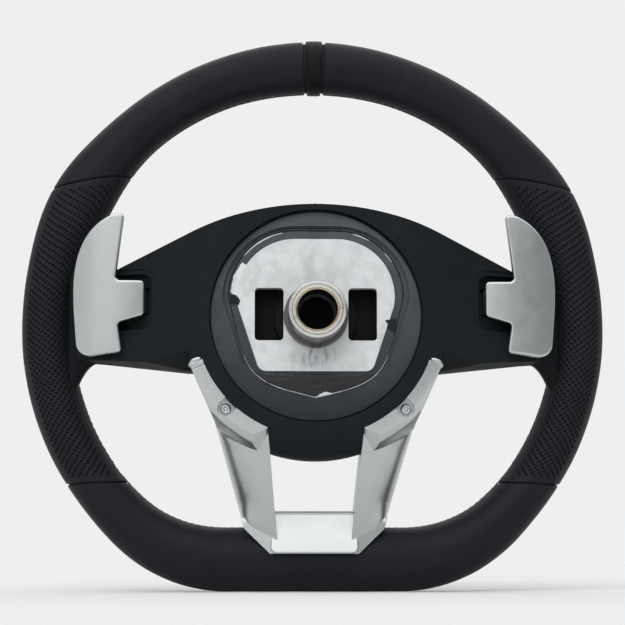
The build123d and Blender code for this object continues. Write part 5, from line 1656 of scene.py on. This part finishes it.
@dataclass
class SilverTrims:
    """The cast silver trims of the lower double spoke and the two screws that hold the rear one."""

    leg_span: Pair = (-126.0, -70.0)
    leg_fade: float = 12.0
    leg_slice: float = 4.0
    leg_inner: float = 20.0
    roll_width: float = 18.0
    roll_drop: float = 8.0
    roll_depth: float = 26.0
    roll_lead: float = 1.3
    tip_path: tuple[Triple, ...] = (
        (69.6, 28.4, -26.9), (73.4, 28.5, -27.3), (76.4, 28.9, -28.6), (78.0, 29.6, -30.8),
        (78.2, 30.4, -32.2),
    )
    tip_width: float = 3.0
    tip_points: int = 24
    tip_ends: Pair = (0.02, 0.98)
    screw_place: Triple = (55.9, 33.5, -58.0)
    screw_sides: int = 48
    head_radius: float = 3.3
    head_height: float = 2.0
    head_round: tuple[Pair, ...] = ((0.0, 0.9), (0.25, 0.4), (0.9, 0.1))
    thread_radius: float = 1.7
    thread_end: float = 10.1
    recess_radius: float = 1.45
    recess_lobe: float = 0.28
    recess_lobes: int = 6
    recess_rings: tuple[Triple, ...] = ((1.0, 0.2, 0.0), (1.0, 0.0, 0.15), (0.94, 0.0, 1.3), (0.3, 0.0, 1.5))

    def rolled(self, spots: np.ndarray) -> np.ndarray:
        """Moves points of the legs in towards the driver, more so near the outer edges.

        Args:
            spots: points in millimetres, one to a row.

        Returns:
            The moved points.
        """
        low, high = self.leg_span
        x, y, z = np.abs(spots[:, 0]), spots[:, 1], spots[:, 2]
        heights = np.arange(low, high, self.leg_slice)
        slices = [(z > height) & (z < height + self.leg_slice) for height in heights]
        middles = heights + self.leg_slice / 2
        edge = [x[part].max() for part in slices]
        rear = [y[part & (x > self.leg_inner)].min() for part in slices]
        inward = np.polyval(np.polyfit(middles, edge, 1), z) - x
        depth = y - np.polyval(np.polyfit(middles, rear, 1), z)
        share = np.clip((z - low) / self.leg_fade, 0, 1) * np.clip((high - z) / self.leg_fade, 0, 1)
        share = share * np.clip(1 - inward / self.roll_width, 0, 1) ** 2
        moved = spots.copy()
        moved[:, 1] += self.roll_drop * share * np.clip(self.roll_lead - depth / self.roll_depth, 0, 1)
        return moved

    def screw(self) -> Thing:
        """One screw with a rounded head and a six-lobed recess, its head to the back.

        Returns:
            The new object.
        """
        lobes = self.recess_radius + self.recess_lobe * np.cos(self.recess_lobes * turns(self.screw_sides))
        head, rear = self.head_radius, -self.head_height
        profile = [(self.thread_radius, self.thread_end), (self.thread_radius, 0.0), (head, 0.0)]
        profile += [(head - inset, rear + drop) for inset, drop in self.head_round]
        profile += [(lobes * scale + wider, rear + drop) for scale, wider, drop in self.recess_rings]
        return turned("screw", profile, self.screw_sides)

    def build(self) -> None:
        """Dresses the trims, then makes their rolled tips and the screws."""
        dress(SATIN_SILVER, "front_spoke_trim")
        FineCopy().make("rear_spoke_trim", self.rolled, "wheel", self.leg_span)
        path = np.array(self.tip_path)
        share = np.linspace(0, 1, self.tip_points)
        roll = np.stack([np.interp(share, np.linspace(0, 1, len(path)), line) for line in path.T], axis=-1)
        swell = np.sqrt(np.sin(np.pi * np.clip(share, *self.tip_ends)))
        for side in Side:
            name = f"tip_roll_{side.suffix}"
            PathBead.run(name, roll * (side.value, 1, 1), swell, self.tip_width, ROLL_SILVER)
        x, y, z = self.screw_place
        places = [(side.value * x, y, z) for side in Side]
        PlacedCopies.lay_out("trim_screw_pair", self.screw(), places, SCREW_STEEL, "trim_screws")


@dataclass
class ShiftPaddles:
    """The two paddles with their levers, pins, brackets and switches."""

    roll_width: float = 14.0
    roll_drop: float = 1.7

    def rolled(self, spots: np.ndarray) -> np.ndarray:
        """Moves points near a paddle's outer edge in towards the driver.

        Args:
            spots: points in millimetres, one to a row.

        Returns:
            The moved points.
        """
        x = np.abs(spots[:, 0])
        moved = spots.copy()
        moved[:, 1] += self.roll_drop * np.clip(1 - (x.max() - x) / self.roll_width, 0, 1) ** 2
        return moved

    def build(self) -> None:
        """Bends the blades and dresses the rest on both sides."""
        for blade in sided("paddle"):
            FineCopy().make(blade, self.rolled, blade)
        dress(INNER_BLACK, *sided("paddle_lever", "paddle_bracket"))
        dress(PIN_STEEL, *sided("paddle_pin"))
        dress(SWITCH_GREY, *sided("paddle_switch"))


@dataclass
class SwitchPacks:
    """The two switch packs on the driver's side."""

    buttons: tuple[str, ...] = (
        "button_upper_inner", "button_upper_outer", "button_lower_inner", "button_lower_outer", "thumb_pad",
    )

    def build(self) -> None:
        """Dresses the panels, boards and buttons."""
        dress(PANEL_BLACK, *sided("switch_panel"))
        dress(BOARD_GREEN, *sided("switch_board"))
        dress(BUTTON_BLACK, *sided(*self.buttons))


@dataclass
class AirbagModule:
    """The airbag module, which is also the horn button."""

    spring_seat: float = 38.0
    spring_room: float = 12.0
    horn_travel: float = 2.5
    coil_crease: float = 60.0

    def build(self) -> None:
        """Dresses the cover and what lies behind it, and makes a smoothly shaded copy of the horn springs."""
        dress(AIRBAG_BLACK, "airbag_cover")
        dress(COATED_STEEL, "airbag_tray", "gas_generator")
        dress(BAG_CLOTH, "folded_airbag")
        dress(PIN_STEEL, "horn_guide_pins")
        coils = FineCopy(SPRING_STEEL, "coils", cuts=0, crease=self.coil_crease)
        springs = coils.make("horn_springs", lambda spots: spots, "wheel")
        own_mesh(springs)


@dataclass(frozen=True)
class Lamp:
    """A broad far-off soft box: a point in its direction in metres, how wide it looks from the wheel
    in degrees, its light in watts to a square metre, and whether shiny surfaces show it."""

    name: str
    place: Triple
    spread: float
    power: float
    mirrored: bool = True

    def build(self) -> None:
        """Sets up the lamp."""
        data = bpy.data.lights.new(self.name, "SUN")
        data.angle = math.radians(self.spread)
        data.energy = self.power
        made = linked(self.name, data)
        made.location = self.place
        made.visible_glossy = self.mirrored
        made.rotation_mode = "QUATERNION"
        made.rotation_quaternion = (-Vector(self.place)).to_track_quat("-Z", "Y")


@dataclass
class Studio:
    """Pale floor, white surroundings, soft lamps and the photograph's camera."""

    backdrop: float = 0.863
    floor_shade: float = 0.92
    floor_roughness: float = 0.9
    floor_glow: float = 0.07
    floor_size: float = 30.0
    sky: float = 0.2
    room_side: Triple = (0.2, -0.35, 0.62)
    room_depth: Triple = (-0.1, 0.4, 0.6)
    room_height: Triple = (0.2, 0.55, 0.66)
    room_dim: float = 0.2
    lamps: tuple[Lamp, ...] = (
        Lamp("back_lamp", (0.1, 0.5, 1.7), 90.0, 1.0),
        Lamp("key_lamp", (-0.1, -0.8, 0.78), 65.0, 0.72),
        Lamp("fill_lamp", (-0.25, -0.9, 0.5), 40.0, 1.3, mirrored=False),
    )
    eye: Triple = (-35.0, -1070.0, -150.0)
    aim: Triple = (-0.71, 80.0, 9.03)
    lens: float = 102.71
    sensor: float = 36.0

    def build(self) -> None:
        """Sets the stage."""
        self.floor()
        self.world()
        for lamp in self.lamps:
            lamp.build()
        self.camera()
        bpy.context.scene.view_settings.view_transform = "Standard"

    def floor(self) -> None:
        """A pale floor under the rim."""
        half = self.floor_size / MM / 2
        square = np.array([(-1, -1, 0), (1, -1, 0), (1, 1, 0), (-1, 1, 0)]) * half
        ground = new_object("floor", square + (0, 0, CAD_BOX[0].z / MM), [(0, 1, 2, 3)])
        graph = ShaderGraph("pale_floor")
        seen = graph.node("ShaderNodeLightPath").outputs["Is Camera Ray"]
        graph.settle(
            Base_Color=(self.floor_shade,) * 3, Roughness=self.floor_roughness, Specular_IOR_Level=0.0,
            Emission_Color=EVEN, Emission_Strength=graph.maths("MULTIPLY", seen, self.floor_glow),
        )
        ground.data.materials.append(graph.material)

    def world(self) -> None:
        """White surroundings for the camera and reflections, softer light on matt surfaces."""
        world = bpy.data.worlds.new("studio")
        world.use_nodes = True
        bpy.context.scene.world = world
        graph = Wiring(world.node_tree)
        plain = graph.tree.nodes["Background"]
        graph.give(plain.inputs["Color"], EVEN)
        graph.give(plain.inputs["Strength"], self.sky)
        path = graph.node("ShaderNodeLightPath").outputs
        mirrored = graph.maths("MAXIMUM", path["Is Glossy Ray"], path["Is Transmission Ray"])
        inputs = {"Factor": mirrored, "A": self.backdrop, "B": self.room(graph)}
        shade = graph.node("ShaderNodeMix", inputs).outputs["Result"]
        white = graph.node("ShaderNodeBackground", {"Color": shade})
        mix = graph.node("ShaderNodeMixShader", {
            "Fac": graph.maths("MAXIMUM", path["Is Camera Ray"], mirrored),
            1: plain.outputs["Background"], 2: white.outputs["Background"],
        })
        graph.give(graph.tree.nodes["World Output"].inputs["Surface"], mix.outputs["Shader"])

    def room(self, graph: Wiring) -> Socket:
        """What reflections see: the pale backdrop and ceiling, and a room behind the camera.

        Args:
            graph: the world's nodes.

        Returns:
            A brightness by direction: the room is pale on the left and dim on the right.
        """
        direction = graph.node("ShaderNodeTexCoord").outputs["Generated"]
        split = graph.node("ShaderNodeSeparateXYZ", {"Vector": direction}).outputs
        walls = zip("XYZ", (self.room_side, self.room_depth, self.room_height))
        side, depth, height = (
            graph.rescale(split[axis], (start, stop), (self.room_dim, level), curve="SMOOTHSTEP")
            for axis, (start, stop, level) in walls
        )
        return graph.maths("MAXIMUM", graph.maths("MAXIMUM", side, depth), height)

    def camera(self) -> None:
        """The camera at the photograph's place."""
        data = bpy.data.cameras.new("photo_camera")
        data.sensor_width = self.sensor
        data.lens = self.lens
        made = linked("photo_camera", data)
        made.location = Vector(self.eye) * MM
        made.rotation_mode = "QUATERNION"
        made.rotation_quaternion = (Vector(self.aim) - Vector(self.eye)).to_track_quat("-Z", "Y")
        bpy.context.scene.camera = made


def main() -> None:
    """Builds the wheel's looks, one sub-assembly after the other."""
    logging.basicConfig(level=logging.INFO, format="%(message)s")
    noise.seed_set(NOISE_SEED)  # noise vectors follow the clock without it
    for assembly in (
        LeatherRim(), HubAndSpokes(), FoamDetail(), SilverTrims(), ShiftPaddles(), SwitchPacks(),
        AirbagModule(), Studio(),
    ):
        LOG.info("building %s", type(assembly).__name__)
        assembly.build()


if __name__ == "__main__":
    main()
